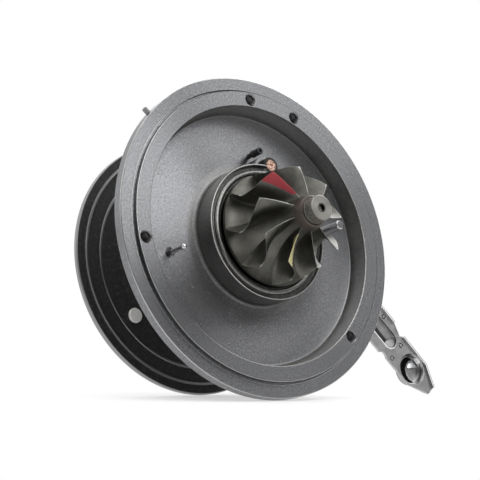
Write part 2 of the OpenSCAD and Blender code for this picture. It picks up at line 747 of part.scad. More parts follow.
module plate_screws() {
    head_t = plate_back_t - front_flange_thick;
    color("gray")
        laid()
            for (i = [0:plate_screw_count - 1])
                at_polar(plate_screw_r, 45 + i * 360 / plate_screw_count)
                    difference() {
                        union() {
                            bar(plate_screw_d / 2, head_t - cut, plate_back_t + plate_screw_grip);
                            bar(plate_screw_head_d / 2, head_t - plate_screw_head_h, head_t);
                        }
                        translate([0, 0, head_t - plate_screw_head_h - cut])
                            cylinder(d = plate_screw_d * 0.9, h = plate_screw_head_h * 0.6 + cut, $fn = 6);
                    }
}

module plate_seal_ring() {
    color("black")
        laid()
            rotate_extrude()
                translate([thrust_d / 2 + seat_gap + 2.8, plate_back_t - seal_cord_d / 2 - 0.025])
                    circle(d = seal_cord_d);
}

module rim_pin() {
    color("silver")
        laid()
            rotate([0, 0, rim_pin_a])
                translate([plate_r - rim_pin_in, 0, (rim_front_t + rim_back_t) / 2])
                    rotate([0, 90, 0]) {
                        cylinder(d = rim_pin_d, h = rim_pin_in + rim_pin_out - edge_break);
                        translate([0, 0, rim_pin_in + rim_pin_out - edge_break])
                            cylinder(d1 = rim_pin_d, d2 = rim_pin_d - 2 * edge_break, h = edge_break);
                    }
}

module headed_pin() {
    top_t = floor_t + headed_pin_h;
    head_r = headed_pin_head_d / 2;
    color("silver")
        laid()
            at_polar(headed_pin_r, headed_pin_a) {
                bar(headed_pin_d / 2, floor_t - pin_seat, top_t - head_r);
                translate([0, 0, top_t - head_r])
                    sphere(r = head_r);
            }
}

module dowel_pin() {
    top_t = floor_t + dowel_h;
    color("silver")
        laid()
            at_polar(dowel_r, dowel_a) {
                bar(dowel_d / 2, floor_t - pin_seat, top_t - edge_break);
                translate([0, 0, top_t - edge_break])
                    cylinder(d1 = dowel_d, d2 = dowel_d - 2 * edge_break, h = edge_break);
            }
}

module black_stud() {
    top_t = floor_t + stud_h;
    collar_low = floor_t + 0.4 * stud_h;
    collar_high = floor_t + 0.68 * stud_h;
    color("black")
        laid()
            at_polar(stud_r, stud_a)
                difference() {
                    union() {
                        bar(stud_d / 2, floor_t - pin_seat, top_t);
                        translate([0, 0, collar_low])
                            cylinder(d = stud_collar_d, h = collar_high - collar_low, $fn = 6);
                        bar(stud_d * 0.66, collar_high - cut / 2, top_t);
                    }
                    bar(stud_d * 0.36, top_t - 2, top_t + cut);
                }
}

module boss_plug() {
    top_t = plug_ear_t + plug_proud;
    color("peru")
        laid()
            at_polar(plug_r, plug_a)
                difference() {
                    union() {
                        bar(plug_d / 2, floor_t - pin_seat, top_t - edge_break);
                        translate([0, 0, top_t - edge_break])
                            cylinder(d1 = plug_d, d2 = plug_d - 2 * edge_break, h = edge_break);
                    }
                    translate([0, 0, top_t - edge_break])
                        cylinder(d1 = plug_d * 0.12, d2 = plug_d * 0.3, h = 2 * edge_break);
                }
}

module flange_pin() {
    color("lightgray")
        laid()
            at_polar(flange_pin_r, flange_pin_a) {
                bar(flange_pin_d / 2, flange_back_t, rim_face_t + 1.2);
                translate([0, 0, rim_face_t + 1.2])
                    cylinder(d1 = flange_pin_d, d2 = flange_pin_d - 2 * edge_break, h = edge_break);
            }
}

module thrust_bearing() {
    pad_pitch = 60;
    color("goldenrod")
        laid()
            difference() {
                ring(collar_neck_d / 2 + 0.3, thrust_d / 2, thrust_back_t, plate_back_t);
                // Oil grooves between the thrust pads
                for (i = [0:5])
                    rotate([0, 0, i * pad_pitch])
                        translate([collar_neck_d / 2, -0.5, plate_back_t - 0.4])
                            cube([collar_d / 2 - collar_neck_d / 2 + 1, 1, cut]);
            }
}

module oil_baffle() {
    baffle_r = baffle_d / 2;
    color("gray")
        laid() {
            ring(flinger_r + 0.8, baffle_r, baffle_seat_t - baffle_sheet, baffle_seat_t);
            ring(baffle_r - baffle_sheet, baffle_r, plate_back_t, baffle_seat_t - baffle_sheet / 2);
        }
}

module journal_bearing() {
    bearing_len = bearing_front_t - bearing_back_t;
    bearing_bore_r = journal_r + journal_gap;
    color("goldenrod")
        laid()
            difference() {
                union() {
                    bar(bearing_r, bearing_front_t - bearing_land, bearing_front_t);
                    bar(bearing_r, bearing_back_t, bearing_back_t + bearing_land);
                    bar(bearing_r - 1, bearing_back_t + 1, bearing_front_t - 1);
                }
                bar(bearing_bore_r, bearing_back_t - cut, bearing_front_t + cut);
                bar(bearing_bore_r + 0.6, bearing_back_t + bearing_land, bearing_front_t - bearing_land);
                translate([0, 0, bearing_front_t - bearing_land / 2])
                    rotate([0, 90, 180])
                        cylinder(d = bearing_pin_d + 2 * seat_gap, h = bearing_len);
            }
}

module bearing_pin() {
    pin_tip = journal_r + journal_gap + 0.8;
    color("gray")
        laid()
            translate([-pin_tip, 0, bearing_front_t - bearing_land / 2])
                rotate([0, 90, 180])
                    cylinder(d = bearing_pin_d, h = barrel_d / 2 - pin_tip - 0.5);
}

module heat_shield() {
    shield_r = shield_d / 2;
    seat_t = flange_back_t + 1;
    fold_r = shield_r - 5;
    eye_r = turbine_bore_r + 6;
    color("darkgray")
        laid()
            rotate_extrude()
                polygon([
                    [shield_r, seat_t], [fold_r, seat_t],
                    [eye_r + 3, seat_t - shield_dish], [eye_r, seat_t - shield_dish],
                    [eye_r, seat_t - shield_dish - shield_sheet],
                    [eye_r + 3, seat_t - shield_dish - shield_sheet],
                    [fold_r, seat_t - shield_sheet], [shield_r, seat_t - shield_sheet]
                ]);
}

module compressor_seal_ring() {
    color("gray")
        laid()
            ring(flinger_r - seal_groove + 0.3, plate_bore_r - seat_gap,
                 compressor_ring_t - seal_ring_w / 2, compressor_ring_t + seal_ring_w / 2);
}

module turbine_seal_ring() {
    color("gray")
        laid()
            ring(seal_hub_r - seal_groove + 0.3, turbine_bore_r - seat_gap,
                 turbine_ring_t - seal_ring_w / 2, turbine_ring_t + seal_ring_w / 2);
}

module crank_bush() {
    color("gray")
        laid()
            at_polar(crank_r, crank_a)
                ring(crank_d / 2 + crank_gap, bush_r, bush_back_t, bush_front_t);
}

module shaft() {
    seal_front_t = seal_room_t - 0.5;
    groove_half = seal_ring_w / 2 + 0.2;
    color("lightgray")
        laid()
            difference() {
                union() {
                    bar(stub_d / 2, collar_back_t - cut, nose_t + nut_len - 1.5);
                    bar(journal_r, seal_front_t - cut, collar_back_t);
                    bar(seal_hub_r, turbine_back_t, seal_front_t);
                }
                ring(seal_hub_r - seal_groove, seal_hub_r + cut,
                     turbine_ring_t - groove_half, turbine_ring_t + groove_half);
                ring(journal_r - 0.4, journal_r + cut,
                     bearing_back_t + bearing_land + 1, bearing_front_t - bearing_land - 1);
            }
}

module thrust_collar() {
    color("lightgray")
        laid() {
            ring(stub_d / 2 + seat_gap, collar_d / 2, collar_back_t, thrust_back_t - thrust_play);
            ring(stub_d / 2 + seat_gap, collar_neck_d / 2, collar_back_t, plate_back_t + thrust_play);
        }
}

module oil_flinger() {
    start_t = plate_back_t + thrust_play;
    groove_half = seal_ring_w / 2 + 0.2;
    color("lightgray")
        laid()
            difference() {
                union() {
                    bar(collar_d / 2, start_t, start_t + collar_thick);
                    bar(flinger_r, start_t, wheel_seat_t);
                }
                bar(stub_d / 2 + seat_gap, start_t - cut, wheel_seat_t + cut);
                ring(flinger_r - seal_groove, flinger_r + cut,
                     compressor_ring_t - groove_half, compressor_ring_t + groove_half);
            }
}

// Camber surface of a compressor blade: s from inlet to outlet, h from root to tip
function compressor_place(s, h) =
    let (
        root = meridian(hub_r, lead_t, wheel_r, wheel_rim_t, s),
        tip = meridian(inducer_r, lead_t - lead_edge_back, wheel_r - 0.4, wheel_rim_t + outlet_h, s)
    )
    mix(root, tip, h);

function compressor_turn(s, h) =
    let (
        root = -lead_lean + hub_wrap * (1 - pow(1 - s, 2.3)),
        tip = tip_wrap * (1 - pow(1 - s, 3.3))
    )
    mix(root, tip, h);

module compressor_blade() {
    steps = 12;
    rows = 4;
    // The first row starts inside the hub
    root_sink = -0.06;
    spans = [for (j = [0:rows]) mix(root_sink, 1, j / rows)];
    // Both ends are thinner than the middle
    function half_thick(s, h) =
        mix(blade_root, blade_tip, max(0, h)) / 2 * mix(0.6, 1, min(1, 6 * s, 8 * (1 - s)));
    points = [
        for (side = [-1, 1], i = [0:steps], h = spans)
            let (s = i / steps)
            blade_point(compressor_place(s, h), compressor_turn(s, h), side * half_thick(s, h))
    ];
    polyhedron(points, blade_faces(steps, rows), convexity = 4);
}

module compressor_wheel() {
    color("darkslategray")
        laid()
            difference() {
                union() {
                    rotate_extrude()
                        polygon(concat(
                            [[0, nose_t], [hub_nose_d / 2 - 0.6, nose_t], [hub_nose_d / 2, nose_t - 0.6]],
                            [for (i = [0:12]) meridian(hub_r, lead_t, wheel_r, wheel_rim_t, i / 12)],
                            [[wheel_r, wheel_back_t], [hub_r + 4, wheel_back_t]],
                            [[hub_r + 1, wheel_seat_t], [0, wheel_seat_t]]
                        ));
                    for (i = [0:blade_count - 1])
                        rotate([0, 0, blade_phase + i * 360 / blade_count])
                            compressor_blade();
                }
                bar(stub_d / 2 + seat_gap, wheel_seat_t - cut, nose_t + cut);
            }
}

// Camber surface of a turbine blade: s from outlet to inlet, h from root to tip
function turbine_place(s, h) =
    let (
        root = meridian(turbine_hub_d / 2, turbine_back_t - turbine_len, turbine_d / 2 - 1.5,
                        turbine_back_t - 1.2, s),
        tip = meridian(exducer_d / 2, turbine_back_t - turbine_len + 1.5, turbine_d / 2,
                       turbine_back_t - 1.2 - turbine_inlet_h, s)
    )
    mix(root, tip, h);

module turbine_blade() {
    steps = 8;
    rows = 3;
    root_sink = -0.08;
    spans = [for (j = [0:rows]) mix(root_sink, 1, j / rows)];
    points = [
        for (side = [1, -1], i = [0:steps], h = spans)
            let (
                s = i / steps,
                turn = turbine_wrap * pow(1 - s, 1.8) * mix(0.55, 1, max(0, h)),
                half = mix(1.5, 0.8, max(0, h)) / 2
            )
            blade_point(turbine_place(s, h), turn, side * half)
    ];
    polyhedron(points, blade_faces(steps, rows), convexity = 4);
}

module turbine_wheel() {
    outlet_t = turbine_back_t - turbine_len;
    color("slategray")
        laid() {
            rotate_extrude()
                polygon(concat(
                    [[0, turbine_back_t], [turbine_d / 2 - 1.5, turbine_back_t]],
                    [for (i = [10:-1:0]) meridian(turbine_hub_d / 2, outlet_t, turbine_d / 2 - 1.5,
                                                 turbine_back_t - 1.2, i / 10)],
                    [[turbine_hub_d / 2 - 1, outlet_t - 1], [0, outlet_t - 1]]
                ));
            for (i = [0:turbine_blades - 1])
                rotate([0, 0, i * 360 / turbine_blades])
                    turbine_blade();
            translate([0, 0, outlet_t - 4.5])
                cylinder(d = turbine_hub_d - 3, h = 4, $fn = 6);
        }
}

module nose_nut() {
    nut_r = nut_d / 2;
    groove_count = 4;
    groove_pitch = nut_len / (groove_count + 1);
    color("silver")
        laid()
            difference() {
                union() {
                    bar(nut_r, nose_t, nut_end_t - edge_break);
                    translate([0, 0, nut_end_t - edge_break])
                        cylinder(r1 = nut_r, r2 = nut_r - edge_break, h = edge_break);
                }
                bar(stub_d / 2 + seat_gap, nose_t - cut, nut_end_t - 1.4);
                // Centre drilling in the ground face
                bar(nut_d * 0.13, nut_end_t - 1.4 - cut, nut_end_t + cut);
                // Turning marks round the nut
                for (i = [1:groove_count])
                    ring(nut_r - 0.15, nut_r + cut,
                         nose_t + i * groove_pitch - 0.12, nose_t + i * groove_pitch + 0.12);
            }
}

module crank_shaft() {
    color("silver")
        laid()
            at_polar(crank_r, crank_a) {
                bar(crank_d / 2, inner_arm_t, lever_front_t);
                translate([0, 0, lever_front_t])
                    cylinder(d1 = crank_d, d2 = crank_d - 1.6, h = 0.8);
            }
}

module inner_arm() {
    // The arm points at the rotor axis
    color("gray")
        laid()
            at_polar(crank_r, crank_a)
                rotate([0, 0, crank_a + 180]) {
                    difference() {
                        translate([0, 0, inner_arm_t])
                            tapered_bar(crank_d / 2 + inner_arm_wall, drive_pin_d / 2 + inner_arm_wall,
                                        inner_arm_len, inner_arm_thick);
                        bar(crank_d / 2 + seat_gap, inner_arm_t - cut, inner_arm_t + inner_arm_thick + cut);
                    }
                    translate([inner_arm_len, 0, 0])
                        bar(drive_pin_d / 2, inner_arm_t - drive_pin_len, inner_arm_t + cut / 2);
                }
}

module lever_arm() {
    color("silver")
        laid()
            translate([crank_x, crank_y, lever_back_t])
                rotate([0, 0, lever_a])
                    difference() {
                        tapered_bar(lever_boss_r, lever_eye_r, lever_len, lever_thick);
                        bar(crank_d / 2 + seat_gap, -cut, lever_thick + cut);
                        translate([lever_len, 0, 0])
                            bar(ball_r * 0.5 + seat_gap, -cut, lever_thick + cut);
                    }
}

module ball_stud() {
    neck_r = ball_r * 0.56;
    color("silver")
        laid()
            translate([ball_x, ball_y, 0]) {
                translate([0, 0, ball_t])
                    sphere(r = ball_r);
                bar(neck_r, lever_front_t, ball_t - ball_r * 0.6);
                bar(ball_r * 0.5, lever_back_t - 0.6, lever_front_t + cut);
                // Riveted foot behind the lever
                translate([0, 0, lever_back_t - 0.8])
                    cylinder(r1 = neck_r, r2 = neck_r + 0.5, h = 0.8);
            }
}

// Moves children to the link, with X running from the near socket to the far one
module on_link() {
    laid()
        translate([ball_x, ball_y, 0])
            rotate([0, 0, link_a])
                children();
}

// Outline of the link's sheets, cut back by an edge allowance
module link_outline(edge) {
    arm = link_w / 2 - edge;
    head = link_head_w / 2 - edge;
    upper_arm = arm - arm_cut;
    upper_head = head - head_cut;
    tip_u = link_len + link_tip - edge;
    // The round end is a little wider than the arm, so that no edges run tangent
    circle(r = near_end_r - edge + 0.05);
    polygon([
        [0, upper_arm], [slope_u, upper_arm], [waist_u, upper_arm - slope_drop],
        [head_start_u, upper_head], [shoulder_u, upper_head],
        [tip_u, tip_half], [tip_u, -tip_half], [shoulder_u - 1.6, -head],
        [head_start_u, -head], [waist_u, -arm + notch_depth],
        [waist_u - 0.6 * notch_w, -arm + notch_depth], [waist_u - notch_w, -arm], [0, -arm]
    ]);
}

// Strips that stand up along the link's upper edge, just inside the sheet's outline
module upturned_edges() {
    inset = 0.05;
    arm_v = link_w / 2 - arm_cut - inset;
    head_v = link_head_w / 2 - head_cut - inset;
    tip_u = link_len + link_tip - inset;
    polygon([
        [near_end_r + 2, arm_v], [slope_u - inset, arm_v],
        [slope_u - inset, arm_v - rim_edge_w], [near_end_r + 2, arm_v - rim_edge_w]
    ]);
    polygon([
        [head_start_u + inset, head_v], [shoulder_u - inset, head_v], [tip_u, tip_half - inset],
        [tip_u, tip_half - 1.2 * rim_edge_w], [shoulder_u - 0.3, head_v - rim_edge_w],
        [head_start_u + inset, head_v - rim_edge_w]
    ]);
}

module link_front_sheet() {
    front_t = sheet_t + link_sheet;
    // The dish narrows from the front face to just outside the rear sheet's mouth
    dish_foot_r = far_socket_r + mouth_flare + 0.2;
    dish_slope = (dish_mouth_r - dish_foot_r) / link_sheet;
    color("lightsteelblue")
        on_link()
            difference() {
                union() {
                    translate([0, 0, sheet_t])
                        linear_extrude(link_sheet)
                            link_outline(0);
                    translate([0, 0, sheet_t + link_sheet / 2])
                        linear_extrude(link_sheet / 2 + rim_edge_h)
                            upturned_edges();
                }
                translate([link_len, -far_off, sheet_t - cut])
                    cylinder(r1 = dish_foot_r - cut * dish_slope, r2 = dish_mouth_r + cut * dish_slope,
                             h = link_sheet + 2 * cut);
                // Slot over the stiffening trough
                for (u = [rib_start_u, rib_end_u])
                    translate([u, 0, 0])
                        bar(rib_slot_w / 2, sheet_t - cut, front_t + cut);
                translate([rib_start_u, -rib_slot_w / 2, sheet_t - cut])
                    cube([rib_end_u - rib_start_u, rib_slot_w, link_sheet + 2 * cut]);
                for (p = clinch_places)
                    translate([p[0], p[1], 0])
                        ring(clinch_d / 2 - 0.6, clinch_d / 2, sheet_t + link_sheet / 2, front_t + cut);
            }
}

// Round bar with ball ends that shapes the stiffening trough
module trough(r) {
    translate([rib_start_u, 0, sheet_t + trough_lift])
        rotate([0, 90, 0])
            cylinder(r = r, h = rib_end_u - rib_start_u);
    for (u = [rib_start_u, rib_end_u])
        translate([u, 0, sheet_t + trough_lift])
            sphere(r = r);
}

module link_rear_sheet() {
    // The rear sheet is smaller all round and its trough is a little wider than the slot
    step_back = 1;
    trough_r = norm([rib_slot_w / 2 + 0.15, trough_lift]);
    sheet_mid_t = sheet_t - link_sheet / 2;
    color("lightsteelblue")
        on_link()
            difference() {
                union() {
                    translate([0, 0, sheet_t - link_sheet])
                        linear_extrude(link_sheet)
                            link_outline(step_back);
                    // Deep cup of the near socket
                    bar(socket_out_r, socket_end_t, sheet_mid_t);
                    translate([0, 0, sheet_t - 2 * link_sheet])
                        cylinder(r1 = socket_out_r, r2 = socket_out_r + link_sheet, h = link_sheet);
                    // Collar of the far socket
                    translate([link_len, -far_off, 0])
                        bar(far_socket_r + far_collar, far_end_t, sheet_mid_t);
                    // Back of the stiffening trough
                    intersection() {
                        trough(trough_r + link_sheet);
                        translate([0, -link_w, sheet_mid_t - 2 * link_w])
                            cube([link_len, 2 * link_w, 2 * link_w]);
                    }
                }
                bar(socket_r, socket_end_t - cut, sheet_t + cut);
                translate([link_len, -far_off, 0]) {
                    bar(far_socket_r, far_end_t - cut, sheet_t + cut);
                    translate([0, 0, mouth_foot_t])
                        cylinder(r1 = far_socket_r, r2 = far_socket_r + 2 * mouth_flare,
                                 h = 2 * mouth_depth);
                }
                trough(trough_r);
            }
}

// Ring that holds the near ball: its bore follows the ball
module near_socket_clip() {
    color("gray")
        on_link()
            difference() {
                bar(socket_out_r, socket_end_t - clip_thick, socket_end_t);
                translate([0, 0, ball_t])
                    sphere(r = socket_r);
            }
}

// Flat spring plate that closes the back of the far socket
module far_socket_clip() {
    color("gray")
        on_link()
            translate([link_len, -far_off, 0])
                bar(far_socket_r + far_collar, far_end_t - clip_thick / 2, far_end_t);
}

seal_plate();
bearing_housing();
plate_screws();
plate_seal_ring();
rim_pin();
headed_pin();
dowel_pin();
black_stud();
boss_plug();
flange_pin();
thrust_bearing();
oil_baffle();
journal_bearing();
bearing_pin();
heat_shield();
compressor_seal_ring();
turbine_seal_ring();
crank_bush();
shaft();
turbine_wheel();
compressor_wheel();
thrust_collar();
oil_flinger();
nose_nut();
crank_shaft();
inner_arm();
lever_arm();
ball_stud();
link_front_sheet();
link_rear_sheet();
near_socket_clip();
far_socket_clip();
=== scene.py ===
import math

import bmesh
import bpy
from mathutils import Matrix, Vector


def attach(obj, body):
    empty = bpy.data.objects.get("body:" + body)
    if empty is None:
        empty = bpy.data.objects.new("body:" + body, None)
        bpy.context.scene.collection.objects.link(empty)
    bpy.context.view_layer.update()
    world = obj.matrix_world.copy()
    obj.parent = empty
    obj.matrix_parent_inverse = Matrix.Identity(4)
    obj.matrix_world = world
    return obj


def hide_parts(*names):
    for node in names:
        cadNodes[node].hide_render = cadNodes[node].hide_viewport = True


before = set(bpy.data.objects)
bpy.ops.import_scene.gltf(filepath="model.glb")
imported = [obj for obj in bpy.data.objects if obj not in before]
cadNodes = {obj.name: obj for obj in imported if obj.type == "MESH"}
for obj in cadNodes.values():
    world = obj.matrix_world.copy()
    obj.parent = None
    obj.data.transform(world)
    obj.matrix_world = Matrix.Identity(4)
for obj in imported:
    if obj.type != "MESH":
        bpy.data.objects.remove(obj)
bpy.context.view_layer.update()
scene = bpy.context.scene
mm = 0.001
print("frame loaded,", len(cadNodes), "nodes")


class Sock:
    # One socket of a node tree. Operators on it add Math nodes.
    def __init__(self, tree, socket):
        self.tree = tree
        self.socket = socket

    def run(self, operation, *values):
        node = self.tree.nodes.new("ShaderNodeMath")
        node.operation = operation
        for place, value in zip(node.inputs, values):
            if isinstance(value, Sock):
                self.tree.links.new(value.socket, place)
            else:
                place.default_value = value
        return Sock(self.tree, node.outputs[0])

    def __add__(self, other):
        return self.run("ADD", self, other)

    def __radd__(self, other):
        return self.run("ADD", other, self)

    def __sub__(self, other):
        return self.run("SUBTRACT", self, other)

    def __rsub__(self, other):
        return self.run("SUBTRACT", other, self)

    def __mul__(self, other):
        return self.run("MULTIPLY", self, other)

    def __rmul__(self, other):
        return self.run("MULTIPLY", other, self)

    def __truediv__(self, other):
        return self.run("DIVIDE", self, other)

    def __rtruediv__(self, other):
        return self.run("DIVIDE", other, self)

    def __pow__(self, other):
        return self.run("POWER", self, other)

    def __neg__(self):
        return self.run("MULTIPLY", self, -1)

    def __abs__(self):
        return self.run("ABSOLUTE", self)

    def atMost(self, other):
        return self.run("MINIMUM", self, other)

    def atLeast(self, other):
        return self.run("MAXIMUM", self, other)

    def sine(self):
        return self.run("SINE", self)

    def angleOver(self, other):
        return self.run("ARCTAN2", self, other)


class Finish:
    # A material with its node tree, in millimetres round the rotor
    def __init__(self, name, tree=None):
        if tree is None:
            self.material = bpy.data.materials.new(name)
            self.material.use_nodes = True
            tree = self.material.node_tree
        self.tree = tree
        tree.nodes.clear()

    def node(self, kind, settings=None, values=None, output=0):
        made = self.tree.nodes.new(kind)
        for key, value in (settings or {}).items():
            setattr(made, key, value)
        for key, value in (values or {}).items():
            if isinstance(value, Sock):
                self.tree.links.new(value.socket, made.inputs[key])
            else:
                made.inputs[key].default_value = value
        return Sock(self.tree, made.outputs[output]) if made.outputs else None

    def measure(self):
        # x, y, z, radius, angle and height towards the compressor, all in millimetres
        point = self.node("ShaderNodeTexCoord", output="Object")
        self.spread = self.scaled(point, 1 / mm)
        parts = [self.node("ShaderNodeSeparateXYZ", values={0: self.spread}, output=i) for i in range(3)]
        self.x, self.y, self.z = parts
        self.t = -self.y
        self.r = (self.x * self.x + self.z * self.z) ** 0.5
        self.a = self.z.angleOver(self.x)
        return self

    def step(self, value, low, high, start=0.0, end=1.0):
        return self.node(
            "ShaderNodeMapRange",
            {"interpolation_type": "SMOOTHSTEP"},
            {"Value": value, "From Min": low, "From Max": high, "To Min": start, "To Max": end},
        )

    def band(self, value, centre, half, soft):
        return self.step(abs(value - centre), half + soft, half)

    def grain(self, size, detail=2.0, rough=0.5, stretch=(1, 1, 1), vector=None):
        # Noise whose features are about size millimetres
        vector = self.spread if vector is None else vector
        scale = tuple(k / size for k in stretch)
        laid = self.vector("MULTIPLY", vector, scale)
        return self.node(
            "ShaderNodeTexNoise",
            values={"Vector": laid, "Scale": 1.0, "Detail": detail, "Roughness": rough},
        )

    def pits(self, size):
        # Distance to the nearest of points scattered about size millimetres apart
        laid = self.scaled(self.spread, 1 / size)
        return self.node("ShaderNodeTexVoronoi", values={"Vector": laid, "Scale": 1.0})

    def turned(self, size, detail=1.0):
        # Lines left by turning round the rotor axis
        vector = self.node("ShaderNodeCombineXYZ", values={0: self.r, 1: self.t, 2: self.a * 0.4})
        return self.grain(size, detail, 0.6, (1, 1, size), vector)

    def tint(self, factor, low, high):
        low = low if isinstance(low, Sock) else (*low, 1)
        high = high if isinstance(high, Sock) else (*high, 1)
        return self.node("ShaderNodeMix", {"data_type": "RGBA"}, {0: factor, 6: low, 7: high}, 2)

    def bump(self, height, distance, strength=1.0, normal=None):
        values = {"Height": height, "Distance": distance * mm, "Strength": strength}
        if normal is not None:
            values["Normal"] = normal
        return self.node("ShaderNodeBump", values=values)

    def rounded(self, radius):
        return self.node("ShaderNodeBevel", {"samples": 4}, {"Radius": radius * mm})

    def vector(self, operation, *values):
        return self.node("ShaderNodeVectorMath", {"operation": operation}, dict(enumerate(values)))

    def scaled(self, vector, factor):
        return self.node("ShaderNodeVectorMath", {"operation": "SCALE"}, {0: vector, "Scale": factor})

    def dot(self, first, second):
        return self.node("ShaderNodeVectorMath", {"operation": "DOT_PRODUCT"}, {0: first, 1: second}, 1)

    def away(self, place):
        # Distance from a line along the rotor axis through a place in x and z
        return ((self.x - place[0]) ** 2 + (self.z - place[1]) ** 2) ** 0.5

    def lathed(self, normal, tilt):
        # Tilts the normal across the turning lines, so that they streak the reflections
        around = self.node("ShaderNodeCombineXYZ", values={0: -self.z / self.r, 1: 0.0, 2: self.x / self.r})
        across = self.vector("CROSS_PRODUCT", normal, self.turnedOut(around))
        return self.vector("NORMALIZE", self.vector("ADD", normal, self.scaled(across, tilt)))

    def turnedOut(self, way):
        # A direction of the piece, as it stands in the scene
        spaces = {"vector_type": "VECTOR", "convert_from": "OBJECT", "convert_to": "WORLD"}
        return self.node("ShaderNodeVectorTransform", spaces, {0: way})

    def flattened(self, normal, share, way):
        # Leans the normal towards one direction of the piece
        mixed = self.node(
            "ShaderNodeMix", {"data_type": "VECTOR"}, {0: share, 4: normal, 5: self.turnedOut(way)}, 1
        )
        return self.vector("NORMALIZE", mixed)

    def attribute(self, name):
        return self.node("ShaderNodeAttribute", {"attribute_name": name}, output="Fac")

    def shade(self, **sockets):
        names = {"color": "Base Color", "rough": "Roughness", "metal": "Metallic", "normal": "Normal"}
        values = {names.get(key, key): value for key, value in sockets.items()}
        return self.node("ShaderNodeBsdfPrincipled", values=values)

    def finished(self, shader):
        self.node("ShaderNodeOutputMaterial", values={"Surface": shader})
        return self.material

    def done(self, **sockets):
        return self.finished(self.shade(**sockets))

    def fanned(self, normal, tilts, **sockets):
        # Lobes tilted across the turning lines, which spread each light into a fan
        shader, total = None, 0.0
        for tilt, weight in tilts:
            lobe = self.shade(normal=self.lathed(normal, tilt), **sockets)
            total += weight
            if shader is not None:
                lobe = self.node("ShaderNodeMixShader", values={0: weight / total, 1: shader, 2: lobe})
            shader = lobe
        return self.finished(shader)


# Camera, floor and light

photoCamera = {
    "place": (-449.953, -539.362, -165.176),
    "right": (0.79014, -0.5962, -0.14224),
    "up": (-0.02769, -0.26655, 0.96342),
    "lens": 120,
    "sensor": 36,
}

cameraRight = Vector(photoCamera["right"]).normalized()
cameraBack = cameraRight.cross(Vector(photoCamera["up"])).normalized()
cameraUp = cameraBack.cross(cameraRight)


def makeCamera(spec):
    data = bpy.data.cameras.new("photo_camera")
    data.lens = spec["lens"]
    data.sensor_width = spec["sensor"]
    camera = bpy.data.objects.new("photo_camera", data)
    turn = Matrix((cameraRight, cameraUp, cameraBack)).transposed().to_4x4()
    camera.matrix_world = Matrix.Translation(Vector(spec["place"]) * mm) @ turn
    scene.collection.objects.link(camera)
    scene.camera = camera


restingFloor = {
    "rims": ((75.0, 7.0), (61.8, 62.2)),  # radius and place along Y of the two rims that stand on it
    "roll": 1.1,  # degrees, so that the link's tip clears the floor
    "half": 4.0,
    "color": (0.93, 0.93, 0.93),
    "middle": (20.0, 35.0),  # the white card fades in round this place, in millimetres
    "fade": (35.0, 110.0),
    "near": 0.45,
}
lookingRays = ("Is Camera Ray", "Is Glossy Ray", "Is Transmission Ray")


def makeFloor(spec):
    roll = math.radians(spec["roll"])
    down = Vector((-math.sin(roll), 0, -math.cos(roll)))
    first, second = (down * radius + Vector((0, along, 0)) for radius, along in spec["rims"])
    across = Vector((math.cos(roll), 0, -math.sin(roll)))
    depth = (second - first).normalized()
    normal = across.cross(depth)
    turn = Matrix((across, depth, normal)).transposed().to_4x4()
    bm = bmesh.new()
    bmesh.ops.create_grid(bm, x_segments=1, y_segments=1, size=spec["half"])
    bm.transform(Matrix.Translation(first * mm) @ turn)
    mesh = bpy.data.meshes.new("floor")
    bm.to_mesh(mesh)
    bm.free()
    floor = bpy.data.objects.new("floor", mesh)
    scene.collection.objects.link(floor)
    f = Finish("floor_card").measure()
    path = [f.node("ShaderNodeLightPath", output=kind) for kind in lookingRays]
    shown = (path[0] + path[1] + path[2]).atMost(1.0)
    away = ((f.x - spec["middle"][0]) ** 2 + (f.y - spec["middle"][1]) ** 2) ** 0.5
    white = shown * f.step(away, *spec["fade"], spec["near"], 1.0)
    card = f.node("ShaderNodeBsdfDiffuse", values={"Color": (*spec["color"], 1)})
    glow = f.node("ShaderNodeEmission", values={"Color": (1, 1, 1, 1), "Strength": 1.0})
    top = f.node("ShaderNodeMixShader", values={0: white, 1: card, 2: glow})
    clear = f.node("ShaderNodeBsdfTransparent")
    under = f.node("ShaderNodeNewGeometry", output="Backfacing")
    mixed = f.node("ShaderNodeMixShader", values={0: under, 1: top, 2: clear})
    f.node("ShaderNodeOutputMaterial", values={"Surface": mixed})
    mesh.materials.append(f.material)


softLamps = {
    # direction in camera axes (right, up, back), distance, size and power
    "top_box": {"from": (0.1, 1.0, 0.1), "far": 1.2, "size": 0.9, "watts": 2.0},
    "left_box": {"from": (-1.0, 0.45, 0.1), "far": 1.3, "size": 0.7, "watts": 1.2},
}
studioWorld = {
    "aim": (20, 30, 0),  # where the lamps point, in millimetres
    "shown": 1.0,
    "base": 0.15,
    # direction in camera axes, cosines where a bright wall starts and is full, and its strength
    "walls": {
        "backdrop": ((-0.45, 0.15, -0.88), 0.45, 0.8, 0.8),
        "ceiling": ((-0.2, 0.95, 0.1), 0.5, 0.9, 0.8),
        "key": ((0.585, 0.64, 0.5), 0.92, 0.98, 3.7),
        "high": ((0.722, 0.655, -0.18), 0.92, 0.98, 2.3),
        "left": ((-0.9, 0.3, 0.3), 0.6, 0.9, 0.4),
        "right": ((0.98, 0.0, -0.2), 0.9, 0.98, 0.4),
        "behind": ((0.35, 0.3, -0.89), 0.8, 0.95, 3.6),
    },
}


